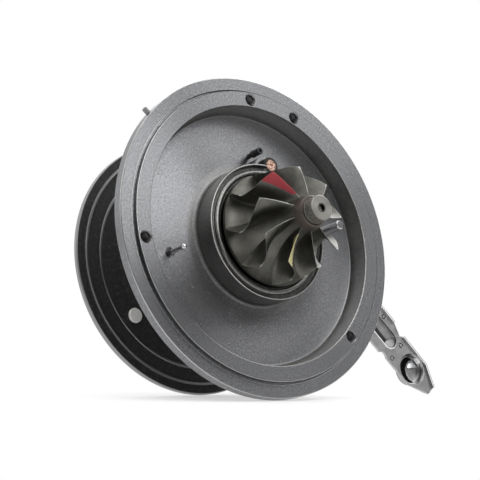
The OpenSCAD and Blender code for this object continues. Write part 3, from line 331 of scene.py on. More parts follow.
def makeLight(lamps, room):
    centre = Vector(room["aim"]) * mm
    for name, spec in lamps.items():
        data = bpy.data.lights.new(name, "AREA")
        data.shape = "DISK"
        data.size = spec["size"]
        data.energy = spec["watts"]
        lamp = bpy.data.objects.new(name, data)
        side, rise, back = spec["from"]
        away = (cameraRight * side + cameraUp * rise + cameraBack * back).normalized()
        lamp.location = centre + away * spec["far"]
        lamp.rotation_mode = "QUATERNION"
        lamp.rotation_quaternion = away.to_track_quat("Z", "Y")
        scene.collection.objects.link(lamp)
    world = bpy.data.worlds.new("studio")
    scene.world = world
    world.use_nodes = True
    f = Finish("studio", world.node_tree)
    way = f.node("ShaderNodeTexCoord", output="Generated")
    level = room["base"]
    for side, low, high, strength in room["walls"].values():
        middle = cameraRight * side[0] + cameraUp * side[1] + cameraBack * side[2]
        towards = f.dot(way, tuple(middle.normalized()))
        level = f.step(towards, low, high, 0.0, strength) + level
    seen = f.node("ShaderNodeLightPath", output="Is Camera Ray")
    strength = level + seen * (room["shown"] - level)
    back = f.node("ShaderNodeBackground", values={"Color": (1, 1, 1, 1), "Strength": strength})
    f.node("ShaderNodeOutputWorld", values={"Surface": back})


makeCamera(photoCamera)
makeFloor(restingFloor)
makeLight(softLamps, studioWorld)
scene.view_settings.view_transform = "Standard"
print("camera, floor and light are set")


# Finishes

plateFinish = {
    "ring": (0.212, 0.214, 0.222),
    "floor": (0.242, 0.244, 0.254),
    "stainAndShade": (0.18, 0.18, 0.185),
    "bead": (0.17, 0.17, 0.16),
    "channel": (0.07, 0.07, 0.066),
    "edge": (0.42, 0.43, 0.44),
    "lip": (0.62, 0.62, 0.6),
    "boss": (0.23, 0.227, 0.218),
    "pitAndShade": (0.06, 0.06, 0.06),
    "wall": (0.39, 0.385, 0.37),
    # zones of the plate: where each fades in along the radius, then along the height
    "recessZone": ((61.6, 60.6), (-0.9, -5.5)),
    "bossZone": ((33.0, 32.0), (-8.0, -6.0)),
    "footZone": ((36.5, 33.0), (-6.0, -7.5)),
    "channelZone": ((31.25, 31.05), (1.2, 1.6)),
    "wallInner": (58.75, 58.95),
    "wallOuter": (61.5, 61.2),
    "wallTop": (-0.5, -1.0),
    "beadBand": (27.8, 1.2, 0.15),
    "beadTop": (2.2, 2.6),
    "lipBand": (31.6, 0.12, 0.1),
    "lipTop": (3.6, 3.9),
    "bossShade": (46.0, 34.0),
    "shadow": (52.0, 36.0),
    "pin": (-46.6, -7.6),
    "pinHole": (2.1, 1.9),
    "pinFoot": (-8.4, -8.7),
    # radius and height of each edge, and the way to its lit side, which gets a painted highlight, the other
    # side a painted shade line
    "edges": (
        (60.95, 0.0, 0.7, -0.7),
        (68.0, 0.0, -0.8, -0.6),
        (69.0, -1.9, -0.8, -0.6),
        (75.0, -1.95, -0.8, -0.6),
    ),
    # tilt and weight of the lobes that the turning lines give
    "fan": ((0.0, 0.36), (-0.18, 0.32), (0.18, 0.12), (-0.36, 0.15), (0.36, 0.05)),
}


def machinedPlate(spec):
    f = Finish("machined_plate").measure()

    def zone(name):
        radius, height = spec[name]
        return f.step(f.r, *radius) * f.step(f.t, *height)

    inside, boss, foot, channel = (zone(n) for n in ("recessZone", "bossZone", "footZone", "channelZone"))
    wall = f.step(f.r, *spec["wallInner"]) * f.step(f.r, *spec["wallOuter"]) * f.step(f.t, *spec["wallTop"])
    bead = f.band(f.r, *spec["beadBand"]) * f.step(f.t, *spec["beadTop"])
    lip = f.band(f.r, *spec["lipBand"]) * f.step(f.t, *spec["lipTop"])
    pinHole = f.step(f.away(spec["pin"]), *spec["pinHole"]) * f.step(f.t, *spec["pinFoot"])
    color = f.tint(inside, spec["ring"], spec["floor"])
    color = f.tint(foot * 0.75, color, spec["wall"])
    # Painted shade on the floor round the foot of the boss
    color = f.tint(f.step(f.r, *spec["bossShade"]) * inside * 0.4, color, spec["stainAndShade"])
    # Painted shadow of the boss, on the floor below it
    below = f.step(f.r + f.grain(6, 3) * 4, *spec["shadow"]) * f.step(f.z / f.r, 0.1, -0.8) * inside
    color = f.tint(below * 0.6, color, spec["pitAndShade"])
    color = f.tint(boss, color, spec["boss"])
    color = f.tint(wall, color, spec["wall"])
    # Painted shade in the channel between the lip and the bead
    color = f.tint(channel, color, spec["channel"])
    color = f.tint(bead, color, spec["bead"])
    # Painted shade in the well round the foot of the headed pin
    color = f.tint(pinHole, color, spec["pitAndShade"])
    # Stains, specks and grains, from large to small
    stained = f.step(f.grain(12, 4, 0.6), 0.52, 0.78) * 0.5 + f.step(f.grain(2.5, 3), 0.62, 0.8) * 0.3
    color = f.tint(stained * inside, color, spec["stainAndShade"])
    speck = f.grain(0.45, 3, 0.6)
    color = f.tint(f.step(speck, 0.55, 0.75) * 0.25, color, spec["edge"])
    color = f.tint(f.step(speck, 0.45, 0.3) * 0.3, color, spec["stainAndShade"])
    dots = f.grain(0.9, 2, 0.7)
    color = f.tint(f.step(dots, 0.5, 0.66) * 0.22, color, spec["edge"])
    color = f.tint(f.step(dots, 0.47, 0.34) * 0.28, color, spec["pitAndShade"])
    pitted = f.step(f.pits(2.6), 0.09, 0.05) * f.step(f.grain(7, 2), 0.5, 0.62) * inside
    color = f.tint(pitted * 0.8, color, spec["pitAndShade"])
    # Painted highlight along the boss's lip
    color = f.tint(lip, color, spec["lip"])
    # Each edge gets a painted highlight on its lit side and a painted shade line on the other
    for radius, height, dx, dz in spec["edges"]:
        edge = f.band(f.r, radius, 0.16, 0.12) * f.band(f.t, height, 0.35, 0.2)
        edgeHighlight = f.step((f.x * dx + f.z * dz) / f.r, -0.3, 0.2)
        color = f.tint(edge * 0.7, color, f.tint(edgeHighlight, spec["pitAndShade"], spec["lip"]))
    rough = 0.22 + speck * 0.06 + stained * inside * 0.08 + foot * 0.25 + wall * 0.1
    normal = f.bump(speck * 0.1 + pitted * -1.5, 0.03, 0.5, f.rounded(0.25))
    inward = f.node("ShaderNodeCombineXYZ", values={0: -f.x / f.r, 1: 0.0, 2: -f.z / f.r})
    normal = f.flattened(normal, wall, inward)
    normal = f.flattened(normal, bead * 0.3, (0, -1, 0))
    lines = (f.turned(0.05) - 0.5) * 0.12
    tilts = [((1 - boss * 0.5) * tilt + lines, weight) for tilt, weight in spec["fan"]]
    return f.fanned(normal, tilts, color=color, rough=rough, metal=1.0)


ironFinish = {
    "cast": (0.022, 0.022, 0.023),
    "dust": (0.050, 0.048, 0.046),
    "cut": (0.3, 0.3, 0.3),
    "heat": (0.14, 0.105, 0.085),
    # radius of each machined ridge, and the height over which it shows
    "ridges": ((57.1, (-58.9, -58.5)), (49.3, (-59.0, -58.8))),
    "ridgeHalf": 0.6,
    "rim": (61.2, 61.5),
    "rear": (-61.7, -62.0),
    "frontOuter": (33.2, 33.6),
    "frontTop": (-20.6, -20.2),
    "inletPad": (35.7, 35.9),
    "drainPad": (-37.7, -37.9),
    "padsEnd": (-56, -55),
    "burnt": (66, 36),
}


def castIron(spec):
    f = Finish("cast_housing").measure()
    lumps = f.grain(1.6, 4, 0.65)
    sand = f.grain(0.4, 3, 0.6)
    cut = f.step(f.r, *spec["rim"])
    for radius, shown in spec["ridges"]:
        cut = cut + f.band(f.r, radius, spec["ridgeHalf"], 0.1) * f.step(f.t, *shown)
    rear = f.step(f.t, *spec["rear"])
    front = f.step(f.r, *spec["frontOuter"]) * f.step(f.t, *spec["frontTop"])
    pads = (f.step(f.z, *spec["inletPad"]) + f.step(f.z, *spec["drainPad"])) * f.step(f.t, *spec["padsEnd"])
    cut = (cut + rear + front + pads).atMost(1.0)
    color = f.tint(f.step(lumps, 0.45, 0.7), spec["cast"], spec["dust"])
    color = f.tint(cut, color, spec["cut"])
    clouds = 0.6 + f.step(lumps, 0.35, 0.65) * 0.4
    burnt = f.step(f.r + f.grain(9, 4, 0.6) * 24, *spec["burnt"]) * clouds
    color = f.tint(rear * burnt, color, spec["heat"])
    rough = 0.62 - cut * 0.32 + sand * 0.14
    height = (lumps + sand * 0.7) * (1 - cut)
    normal = f.bump(height, 0.09, 0.8, f.rounded(0.25))
    normal = f.lathed(normal, (f.turned(0.25) - 0.5) * cut * 1.2)
    return f.done(color=color, rough=rough, metal=0.25 + cut * 0.75, normal=normal)


def plainMetal(name, spec):
    # A metal with clouded colour, fine grain, scratches and slightly rounded edges
    f = Finish(name).measure()
    cloud = f.grain(6, 3, 0.6)
    speck = f.grain(0.35, 2)
    scratch = f.grain(0.12, 1, 0.5, spec.get("run", (1, 0.06, 1)))
    color = f.tint(f.step(cloud, 0.35, 0.7), spec["low"], spec["high"])
    color = f.tint(f.step(scratch, 0.62, 0.72) * 0.3, color, spec["high"])
    rough = spec["rough"] + speck * 0.1 + f.step(cloud, 0.4, 0.8) * 0.08
    normal = f.bump(speck * 0.6 + scratch * 0.4, spec.get("depth", 0.02), 0.6, f.rounded(0.15))
    return f.done(color=color, rough=rough, metal=spec.get("metal", 1.0), normal=normal)


metals = {
    "fastener_steel": {"low": (0.10, 0.10, 0.105), "high": (0.2, 0.2, 0.2), "rough": 0.42},
    "pin_steel": {"low": (0.50, 0.50, 0.50), "high": (0.62, 0.62, 0.62), "rough": 0.12, "depth": 0.005},
    "dull_steel": {"low": (0.16, 0.16, 0.165), "high": (0.28, 0.28, 0.28), "rough": 0.36},
    "pale_pin": {"low": (0.8, 0.79, 0.76), "high": (0.92, 0.91, 0.88), "rough": 0.6, "metal": 0.05},
    "bearing_bronze": {"low": (0.44, 0.29, 0.11), "high": (0.66, 0.47, 0.2), "rough": 0.3},
    "sheet_steel": {"low": (0.22, 0.205, 0.19), "high": (0.36, 0.34, 0.32), "rough": 0.42},
    "ring_iron": {"low": (0.10, 0.10, 0.10), "high": (0.2, 0.2, 0.2), "rough": 0.35},
    "ground_steel": {"low": (0.34, 0.32, 0.3), "high": (0.52, 0.5, 0.47), "rough": 0.25, "run": (1, 1, 0.06)},
    "lever_steel": {"low": (0.3, 0.3, 0.3), "high": (0.48, 0.48, 0.48), "rough": 0.36},
    "ball_steel": {"low": (0.55, 0.55, 0.55), "high": (0.68, 0.68, 0.68), "rough": 0.12},
    "spring_steel": {"low": (0.4, 0.41, 0.42), "high": (0.6, 0.61, 0.62), "rough": 0.25},
}


def softBlack(name, low, high, rough):
    f = Finish(name).measure()
    speck = f.grain(0.3, 3)
    color = f.tint(f.step(f.grain(2, 3), 0.4, 0.7), low, high)
    normal = f.bump(speck, 0.02, 0.6, f.rounded(0.12))
    return f.done(color=color, rough=rough + speck * 0.15, metal=0.0, normal=normal)


copperFace = {
    "face": (0.66, 0.46, 0.37),
    "dull": (0.3, 0.16, 0.11),
    "side": (0.02, 0.018, 0.016),
    "middle": (8.82, 32.01),
    "rubbed": (3.2, 2.7),  # where the bright metal ends, round its ragged edge
    "end": (1.75, 1.95),
}


def copperPlug(spec):
    f = Finish("copper_plug").measure()
    ragged = f.away(spec["middle"]) + f.grain(0.9, 2) * 0.8
    face = f.step(f.t, *spec["end"]) * f.step(ragged, *spec["rubbed"])
    cloud = f.grain(1.1, 3)
    color = f.tint(f.step(cloud, 0.42, 0.62), spec["face"], spec["dull"])
    color = f.tint(face, spec["side"], color)
    normal = f.bump(f.grain(0.25, 2), 0.03, 0.6, f.rounded(0.15))
    rough = 0.62 - face * 0.22 + cloud * 0.1
    return f.done(color=color, rough=rough, metal=0.3 + face * 0.5, normal=normal)


linkFinish = {
    "low": (0.40, 0.40, 0.405),
    "high": (0.52, 0.52, 0.525),
    "highlight": (0.78, 0.78, 0.78),
    "lip": (0.32, 0.32, 0.32),
    "flare": (0.17, 0.17, 0.17),
    "paintedShade": (0.05, 0.05, 0.05),
    "socketShade": (0.005, 0.005, 0.005),
    "shine": (-0.26, -1, 0.15),  # the way that the worn lips and rims face
    "ball": (65.96, -2.26),
    "angle": 310.0,
    "far": (111.29, -57.69),
    # places along the link from its ball and across it, heights, and radii round the far socket
    "troughEnd": 52.3,
    "troughAxis": -33.7,
    "troughWall": (5.3, 5.1),
    "troughTop": (-35.4, -36.0),
    "troughHalf": 4.6,
    "clinches": ((42.2, 6.2), (59.1, 3.3), (59.2, -6.5), (41.1, -6.6), (9.2, 6.2), (9.2, -6.6)),
    "clinchTop": (-35.1, -34.9),
    "narrows": (50.0, 52.0),
    "breadths": (9.25, 8.05),
    "cornerAt": (76.0, 8.05),
    "cornerWay": (0.452, 0.892),
    "raised": (-33.4, -33.1),
    "sheetTop": (-34.1, -34.05),
    "mouth": 7.05,
    "mouthTop": (-34.9, -35.1),
    "dish": (8.2, 7.9),
    "dishInner": (6.75, 6.65),
    "dishFloor": (-36.38, -36.3),
    "clipOffset": (4.5, -0.4),
    "clipShade": (5.9, 6.3),
    "clipFront": (-38.0, -37.85),
    "clipRim": 5.65,
}


def stampedLink(spec):
    # Zinc-grey sheet, with painted highlights on its rounded edges and round the mouth of its dish, and
    # painted shade and dark reflections in the dish, the trough and the grooves
    f = Finish("plated_sheet").measure()
    c, s = math.cos(math.radians(spec["angle"])), math.sin(math.radians(spec["angle"]))
    dx, dz = f.x - spec["ball"][0], f.z - spec["ball"][1]
    u = dx * c + dz * s
    v = dz * c - dx * s
    fx, fz = f.x - spec["far"][0], f.z - spec["far"][1]
    out = f.away(spec["far"])
    paintedShade = spec["paintedShade"]
    speck = f.grain(0.5, 3)
    color = f.tint(f.step(f.grain(5, 3, 0.6), 0.35, 0.7), spec["low"], spec["high"])

    # Trough with its flared end and rolled edge, and painted dark reflections inside it
    slot = ((u - spec["troughEnd"]).atLeast(0.0) ** 2 + v * v) ** 0.5
    tube = (slot * slot + (f.t - spec["troughAxis"]) ** 2) ** 0.5
    trough = f.step(tube, *spec["troughWall"]) * f.step(f.t, *spec["troughTop"])
    color = f.tint(f.step(v, 1.2, 2.2) * trough * 0.45, color, paintedShade)
    seam = f.band(v, 0.6, 0.8, 0.5) * f.step(u, spec["troughEnd"] + 1.7, spec["troughEnd"] + 0.2)
    color = f.tint(seam * trough * 0.9, color, paintedShade)
    flare = f.step(u, spec["troughEnd"] + 0.3, spec["troughEnd"] + 1.5) * trough
    color = f.tint(flare, color, spec["flare"])
    rolled = f.band(slot, spec["troughHalf"], 0.2, 0.15) * f.step(v, 0.5, -1.5) * f.step(f.t, -34.2, -34.05)

    # Clinch points, with painted shade in their ring grooves
    rings = 0.0
    for place in spec["clinches"]:
        reach = ((u - place[0]) ** 2 + (v - place[1]) ** 2) ** 0.5
        rings = f.band(reach, 1.1, 0.34, 0.12) + rings
    color = f.tint(rings * f.step(f.t, *spec["clinchTop"]) * 0.9, color, paintedShade)

    # Upturned edges, with a painted shade line at their foot and another outside
    line = v - f.step(u, *spec["narrows"], *spec["breadths"])
    cornerU, cornerV = u - spec["cornerAt"][0], v - spec["cornerAt"][1]
    edge = line.atLeast(cornerU * spec["cornerWay"][0] + cornerV * spec["cornerWay"][1])
    raised = f.step(f.t, *spec["raised"])
    foot = f.band(edge, -1.16, 0.2, 0.08) * f.step(f.t, *spec["sheetTop"])
    color = f.tint(foot * 0.7, color, paintedShade)
    lip = f.step(edge, -0.98, -0.9) * f.step(edge, -0.2, -0.28) * raised

    # Painted highlight on the rounded corners and round the mouth of the dish, and painted shade on the
    # mouth's far side
    soft = f.rounded(0.35)
    bent = f.dot(soft, f.node("ShaderNodeNewGeometry", output="Normal"))
    mouth = f.band(out, spec["mouth"], 0.15, 0.08) * f.step(f.t, *spec["mouthTop"])
    edgeHighlight = (f.step(bent, 0.99, 0.9) * (1 - raised) * 0.7).atLeast(mouth)
    color = f.tint(edgeHighlight, color, spec["highlight"])
    color = f.tint(mouth * f.step((fx * 0.95 + fz * 0.3) / out, -0.1, 0.4), color, paintedShade)
    color = f.tint(lip, color, spec["lip"])
    # Painted shade line just outside the upturned edges
    color = f.tint(f.step(edge, -0.33, -0.25) * raised * 0.9, color, paintedShade)

    # Painted shade in the dish and a shine on its far side
    side = (fz * 0.6 - fx * 0.8) / out
    inner = f.step(out, *spec["dishInner"]).atLeast(f.step(f.t, *spec["dishFloor"]))
    crescent = f.step(out, *spec["dish"]) * f.step(side, 0.2, 0.7) * (1 - mouth * 0.7) * inner
    color = f.tint(crescent * 0.95, color, spec["socketShade"])
    blob = f.step((fx * 0.78 + fz * 0.63) / out, 0.93, 0.985) * f.band(f.t, -35.2, 1.0, 0.1)
    blob = f.band(out, 7.0, 0.6, 0.3) * blob
    color = f.tint(blob, color, spec["lip"])
    shone = lip + blob + flare * 0.8 + rolled * 0.8
    rough = 0.3 + speck * 0.1 - lip * 0.08 + crescent * 0.15
    normal = f.flattened(f.bump(speck, 0.02, 0.5, soft), shone * 0.85, spec["shine"])
    return f.done(color=color, rough=rough, metal=1.0, normal=normal)


def socketPlate(spec):
    # Spring plate at the back of the far socket, with painted shade along one side and a painted highlight on
    # the lower part of its rim
    f = Finish("socket_plate").measure()
    place = [far + offset for far, offset in zip(spec["far"], spec["clipOffset"])]
    out = f.away(place) + f.grain(1.2, 2) * 0.8
    cavityShade = f.step(out, *spec["clipShade"]) * f.step(f.t, *spec["clipFront"])
    speck = f.grain(0.4, 3)
    color = f.tint(f.step(f.grain(3, 3), 0.35, 0.7), spec["low"], spec["high"])
    # Painted highlight on the lower part of the rim
    rim = f.band(out, spec["clipRim"], 0.2, 0.15) * f.step(f.z - place[1], 0.0, -1.5)
    color = f.tint(rim, color, spec["highlight"])
    color = f.tint(cavityShade, color, spec["socketShade"])
    normal = f.bump(speck, 0.02, 0.5, f.rounded(0.15))
    return f.done(color=color, rough=0.28 + speck * 0.1 + cavityShade * 0.25, metal=1.0, normal=normal)


wheelFinish = {
    "flank": (0.165, 0.162, 0.145),
    "deep": (0.125, 0.124, 0.112),
    "edge": (0.27, 0.27, 0.255),
    "nose": (0.105, 0.090, 0.080),
    "paint": (0.29, 0.018, 0.028),
    "stripe": (0.50, 0.46, 0.22),
    "noseFrom": (31.6, 32.6),
    "noseReach": (8.4, 8.0),
}


def milledAlloy(spec):
    f = Finish("milled_alloy").measure()
    cuts = f.grain(0.4, 2, 0.6, (1, 0.25, 1))
    cloud = f.grain(4, 3)
    color = f.tint(f.step(cloud, 0.35, 0.7), spec["flank"], spec["deep"])
    nose = f.step(f.t, *spec["noseFrom"]) * f.step(f.r, *spec["noseReach"])
    color = f.tint(nose, color, spec["nose"])
    # Painted highlight along the rims of the blades
    highlight = f.step(f.attribute("edge") + f.grain(0.6, 2) * 0.2, 0.9, 1.05)
    color = f.tint(highlight, color, spec["edge"])
    painted = f.step(f.attribute("paint") + (f.grain(0.7, 3) - 0.5) * 0.35, 0.38, 0.66)
    color = f.tint(painted * 0.92, color, spec["paint"])
    striped = f.step(f.attribute("stripe") + (f.grain(0.8, 2) - 0.5) * 0.3, 0.4, 0.6)
    color = f.tint(striped * 0.85, color, spec["stripe"])
    rough = 0.42 + cuts * 0.12 - highlight * 0.1 + painted * 0.2
    normal = f.bump(cuts, 0.02, 0.6)
    return f.done(color=color, rough=rough, metal=1 - painted * 0.8 - striped * 0.8, normal=normal)


nutFinish = {
    "side": (0.12, 0.112, 0.1),
    "face": (0.27, 0.262, 0.245),
    "lip": (0.40, 0.39, 0.36),
    "hole": (0.012, 0.012, 0.012),
    "end": 41.7,
    "collar": 4.8,  # from the end to the middle of the step at the nut's foot
    "sideFrom": (5.4, 5.6),
    "bore": (1.6, 1.5),
    "sink": (2.3, 1.9),
    "groovePitch": 0.55,
    "ringPitch": 0.8,
    # tilt and weight of the lobes that the turning lines give
    "fan": ((0.0, 0.3), (-0.25, 0.25), (0.25, 0.25), (-0.5, 0.1), (0.5, 0.1)),
}


def turnedNut(spec):
    # Turned end face, fine grooves down the side, and painted shade in the centre hole and its countersink
    f = Finish("turned_nut").measure()
    depth = spec["end"] - f.t
    face = f.step(depth, 0.25, 0.1)
    hole = f.step(f.r, *spec["bore"]) * f.step(depth, 0.02, 0.2)
    foot = f.step(depth, spec["collar"] - 0.1, spec["collar"] + 0.1)
    side = f.step(f.r, *spec["sideFrom"])
    grooves = (f.t * (math.tau / spec["groovePitch"])).sine()
    rings = (f.r * (math.tau / spec["ringPitch"])).sine() * 0.5 + 0.5
    grime = f.grain(0.6, 3, 0.6)
    color = f.tint(f.step(grime, 0.35, 0.7) * 0.5, spec["side"], spec["lip"])
    color = f.tint(face, color, spec["face"])
    color = f.tint(face * rings * 0.45, color, spec["side"])
    # Painted shade in the countersink and the hole
    color = f.tint(face * f.step(f.r, *spec["sink"]) * 0.8, color, spec["hole"])
    color = f.tint(foot, color, spec["lip"])
    color = f.tint(hole, color, spec["hole"])
    rough = 0.34 - face * 0.06 + grime * 0.1 + hole * 0.3
    normal = f.bump(grooves * side + grime * 0.4, 0.09, 0.8, f.rounded(0.08))
    lines = (f.turned(0.02) - 0.5) * 0.6
    tilts = [(face * (lines + tilt), weight) for tilt, weight in spec["fan"]]
    return f.fanned(normal, tilts, color=color, rough=rough, metal=1.0)


turbineFinish = {
    "low": (0.13, 0.12, 0.112),
    "high": (0.24, 0.225, 0.21),
    "heat": (0.19, 0.125, 0.085),
    "hottest": (-75, -92),
}


def castTurbine(spec):
    f = Finish("turbine_alloy").measure()
    cloud = f.grain(4, 4, 0.6)
    sand = f.grain(0.35, 3)
    color = f.tint(f.step(cloud, 0.35, 0.7), spec["low"], spec["high"])
    color = f.tint(f.step(f.t, *spec["hottest"]) * 0.5, color, spec["heat"])
    normal = f.bump(sand, 0.05, 0.7)
    return f.done(color=color, rough=0.46 + sand * 0.16, metal=0.9, normal=normal)


finishes = {name: plainMetal(name, spec) for name, spec in metals.items()}
finishes["machined_plate"] = machinedPlate(plateFinish)
finishes["cast_housing"] = castIron(ironFinish)
finishes["seal_rubber"] = softBlack("seal_rubber", (0.012, 0.012, 0.012), (0.03, 0.03, 0.03), 0.55)
finishes["black_plastic"] = softBlack("black_plastic", (0.010, 0.010, 0.011), (0.024, 0.024, 0.025), 0.35)
finishes["copper_plug"] = copperPlug(copperFace)
finishes["plated_sheet"] = stampedLink(linkFinish)
finishes["socket_plate"] = socketPlate(linkFinish)
finishes["milled_alloy"] = milledAlloy(wheelFinish)
finishes["turned_nut"] = turnedNut(nutFinish)
finishes["turbine_alloy"] = castTurbine(turbineFinish)

nodeFinish = {
    "machined_plate": ["seal_plate"],
    "cast_housing": ["bearing_housing"],
    "fastener_steel": ["plate_screws"],
    "seal_rubber": ["plate_seal_ring"],
    "pin_steel": ["headed_pin", "dowel_pin", "bearing_pin"],
    "dull_steel": ["rim_pin"],
    "black_plastic": ["black_stud"],
    "copper_plug": ["boss_plug"],
    "pale_pin": ["flange_pin"],
    "bearing_bronze": ["thrust_bearing", "journal_bearing"],
    "sheet_steel": ["oil_baffle", "heat_shield"],
    "ring_iron": ["compressor_seal_ring", "turbine_seal_ring"],
    "ground_steel": ["shaft", "thrust_collar", "oil_flinger", "crank_bush", "crank_shaft"],
    "turned_nut": ["nose_nut"],
    "lever_steel": ["inner_arm", "lever_arm"],
    "ball_steel": ["ball_stud"],
    "plated_sheet": ["link_front_sheet", "link_rear_sheet"],
    "spring_steel": ["near_socket_clip"],
    "socket_plate": ["far_socket_clip"],
    "milled_alloy": ["compressor_wheel"],
    "turbine_alloy": ["turbine_wheel"],
}


def dressNodes(table):
    for slot, names in table.items():
        for name in names:
            mesh = cadNodes[name].data
            mesh.materials.clear()
            mesh.materials.append(finishes[slot])


dressNodes(nodeFinish)
print("finishes are on,", len(finishes), "in all")


# Shared helpers for new pieces

def spot(radius, degrees, height):
    turn = math.radians(degrees)
    return Vector((radius * math.cos(turn), -height, radius * math.sin(turn))) * mm


def mix(a, b, share):
    return a + (b - a) * share


def quarter(start, end, s):
    # A quarter ellipse that leaves along the axis and arrives along the radius
    turn = math.radians(90 * s)
    return mix(start[0], end[0], 1 - math.cos(turn)), mix(start[1], end[1], math.sin(turn))


def revolve(bm, outline, steps=128, middle=Vector()):
    ring = [bm.verts.new(middle + spot(radius, 0, height)) for radius, height in outline]
    edges = [bm.edges.new(pair) for pair in zip(ring, ring[1:])]
    bmesh.ops.spin(
        bm, geom=ring + edges, cent=middle, axis=(0, 1, 0), angle=math.tau, steps=steps, use_merge=True
    )
    bmesh.ops.remove_doubles(bm, verts=bm.verts, dist=0.001 * mm)


def bevelEdges(bm, edges, offset):
    bmesh.ops.bevel(
        bm, geom=edges, offset=offset * mm, affect="EDGES", segments=2, profile=0.5, material=-1
    )


def keep(bm, name, body, slot, stands=(), sharp=32):
    bmesh.ops.recalc_face_normals(bm, faces=bm.faces)
    for face in bm.faces:
        face.smooth = True
    mesh = bpy.data.meshes.new(name)
    bm.to_mesh(mesh)
    bm.free()
    mesh.set_sharp_from_angle(angle=math.radians(sharp))
    piece = bpy.data.objects.new(name, mesh)
    scene.collection.objects.link(piece)
    mesh.materials.append(finishes[slot])
    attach(piece, body)
    if stands:
        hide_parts(*stands)


# Compressor wheel with smooth milled blades

compressorWheel = {
    "blades": 9,
    "phase": 1.0,
    "rootStart": (8.0, 32.0),
    "rootEnd": (25.9, 6.2),
    "tipStart": (23.5, 27.6),
    "tipEnd": (25.5, 14.2),
    "hubTurn": 28.0,
    "tipTurn": 29.0,
    "lean": 7.0,
    "rootThick": 1.2,
    "tipThick": 0.55,
    "flare": 0.85,  # fillet at the hub, and how far it reaches up the blade, in millimetres
    "flareReach": 0.7,
    "hubBend": 2.3,
    "tipBend": 3.3,
    "steps": 40,
    "rows": 14,
    "marked": 3,
    "striped": 6,
    "nose": ((2.6, 36.5), (6.7, 36.5), (7.3, 35.9)),
    "back": ((25.9, 4.8), (12.0, 4.8), (9.0, 4.0), (2.6, 4.0)),
}


def compressorFlank(spec, s, h, side, phase):
    root = quarter(spec["rootStart"], spec["rootEnd"], s)
    tip = quarter(spec["tipStart"], spec["tipEnd"], s)
    radius, height = mix(root[0], tip[0], h), mix(root[1], tip[1], h)
    rootTurn = -spec["lean"] + spec["hubTurn"] * (1 - (1 - s) ** spec["hubBend"])
    tipTurn = spec["tipTurn"] * (1 - (1 - s) ** spec["tipBend"])
    span = math.dist(root, tip)
    half = mix(spec["rootThick"], spec["tipThick"], max(0, h)) / 2
    half *= mix(0.25, 1, min(1, 6 * s, 10 * (1 - s)) ** 0.5)
    half += spec["flare"] * math.exp(-max(0, h) * span / spec["flareReach"]) * mix(0.15, 1, min(1, 9 * s))
    turn = phase + mix(rootTurn, tipTurn, h) + math.degrees(side * half / radius)
    return spot(radius, turn, height)


bladeMarks = ("edge", "paint", "stripe")
bladeGrid = {
    "sunk": -0.06,  # the blade starts this share of its height below the hub
    "crowd": 1.25,  # rows stand closer near the hub
    "marksFrom": 0.12,
    "wedge": 0.17,  # width of the painted wedge at the tip, as a share of the blade's length
    "wedgeBow": 0.8,
    "wedgeEdge": 14,
    "stripe": 0.11,
    "stripeFrom": 0.2,
    "stripeEdge": 30,
}


def clamp(value):
    return max(0.0, min(1.0, value))


def addBlade(bm, layers, spec, flank, phase, marked=False, striped=False):
    grid = bladeGrid
    edgeLayer, paintLayer, stripeLayer = layers
    rims = []
    for side in (-1, 1):
        made = bmesh.ops.create_grid(bm, x_segments=spec["steps"], y_segments=spec["rows"], size=0.5)
        for v in made["verts"]:
            s, u = v.co.x + 0.5, v.co.y + 0.5
            h = mix(grid["sunk"], 1, u ** grid["crowd"])
            shown = h > grid["marksFrom"]
            onRim = u > 0.999 or s < 0.001 or s > 0.999
            wedge = grid["wedge"] * max(0, h) ** grid["wedgeBow"]
            painted = clamp(0.5 + (wedge - s) * grid["wedgeEdge"])
            stripe = clamp(0.5 + (grid["stripe"] - s) * grid["stripeEdge"])
            v[edgeLayer] = 1.0 if onRim and shown else 0.0
            v[paintLayer] = painted if marked and shown else 0.0
            v[stripeLayer] = stripe if striped and h > grid["stripeFrom"] else 0.0
            v.co = flank(spec, s, h, side, phase)
        rims += [e for e in {e for v in made["verts"] for e in v.link_edges} if e.is_boundary]
    bmesh.ops.bridge_loops(bm, edges=rims)


def makeCompressorWheel(spec):
    bm = bmesh.new()
    layers = [bm.verts.layers.float.new(name) for name in bladeMarks]
    hub = [quarter(spec["rootStart"], spec["rootEnd"], i / 24) for i in range(25)]
    revolve(bm, [*spec["nose"], *hub, *spec["back"], spec["nose"][0]])
    for i in range(spec["blades"]):
        phase = spec["phase"] + i * 360 / spec["blades"]
        addBlade(bm, layers, spec, compressorFlank, phase, i == spec["marked"], i == spec["striped"])
    keep(bm, "compressor_wheel_milled", "rotor", "milled_alloy", ["compressor_wheel"])


makeCompressorWheel(compressorWheel)
print("compressor wheel is milled")


# Turbine wheel with smooth cast blades

turbineWheel = {
    "blades": 11,
    "rootStart": (6.5, -89.8),
    "rootEnd": (20.0, -68.0),
    "tipStart": (19.0, -88.3),
    "tipEnd": (21.5, -76.0),
    "wrap": 34.0,
    "wrapBend": 1.8,
    "rootWrap": 0.55,  # share of the wrap that the blade has at the hub
    "rootThick": 1.5,
    "tipThick": 0.8,
    "flare": 0.9,
    "flareReach": 0.8,
    "steps": 28,
    "rows": 10,
    "nose": (5.5, -90.8),
    "back": (20.0, -66.8),
    "hex": {"radius": 5.0, "depth": 4.2, "place": -92.2, "bevel": 0.4},
}


def turbineFlank(spec, s, h, side, phase):
    root = quarter(spec["rootStart"], spec["rootEnd"], s)
    tip = quarter(spec["tipStart"], spec["tipEnd"], s)
    radius, height = mix(root[0], tip[0], h), mix(root[1], tip[1], h)
    span = math.dist(root, tip)
    up = max(0, h)
    half = mix(spec["rootThick"], spec["tipThick"], up) / 2 * mix(0.6, 1, min(1, 8 * s, 10 * (1 - s)))
    half += spec["flare"] * math.exp(-up * span / spec["flareReach"])
    turn = phase + spec["wrap"] * (1 - s) ** spec["wrapBend"] * mix(spec["rootWrap"], 1, up)
    return spot(radius, turn + math.degrees(side * half / radius), height)


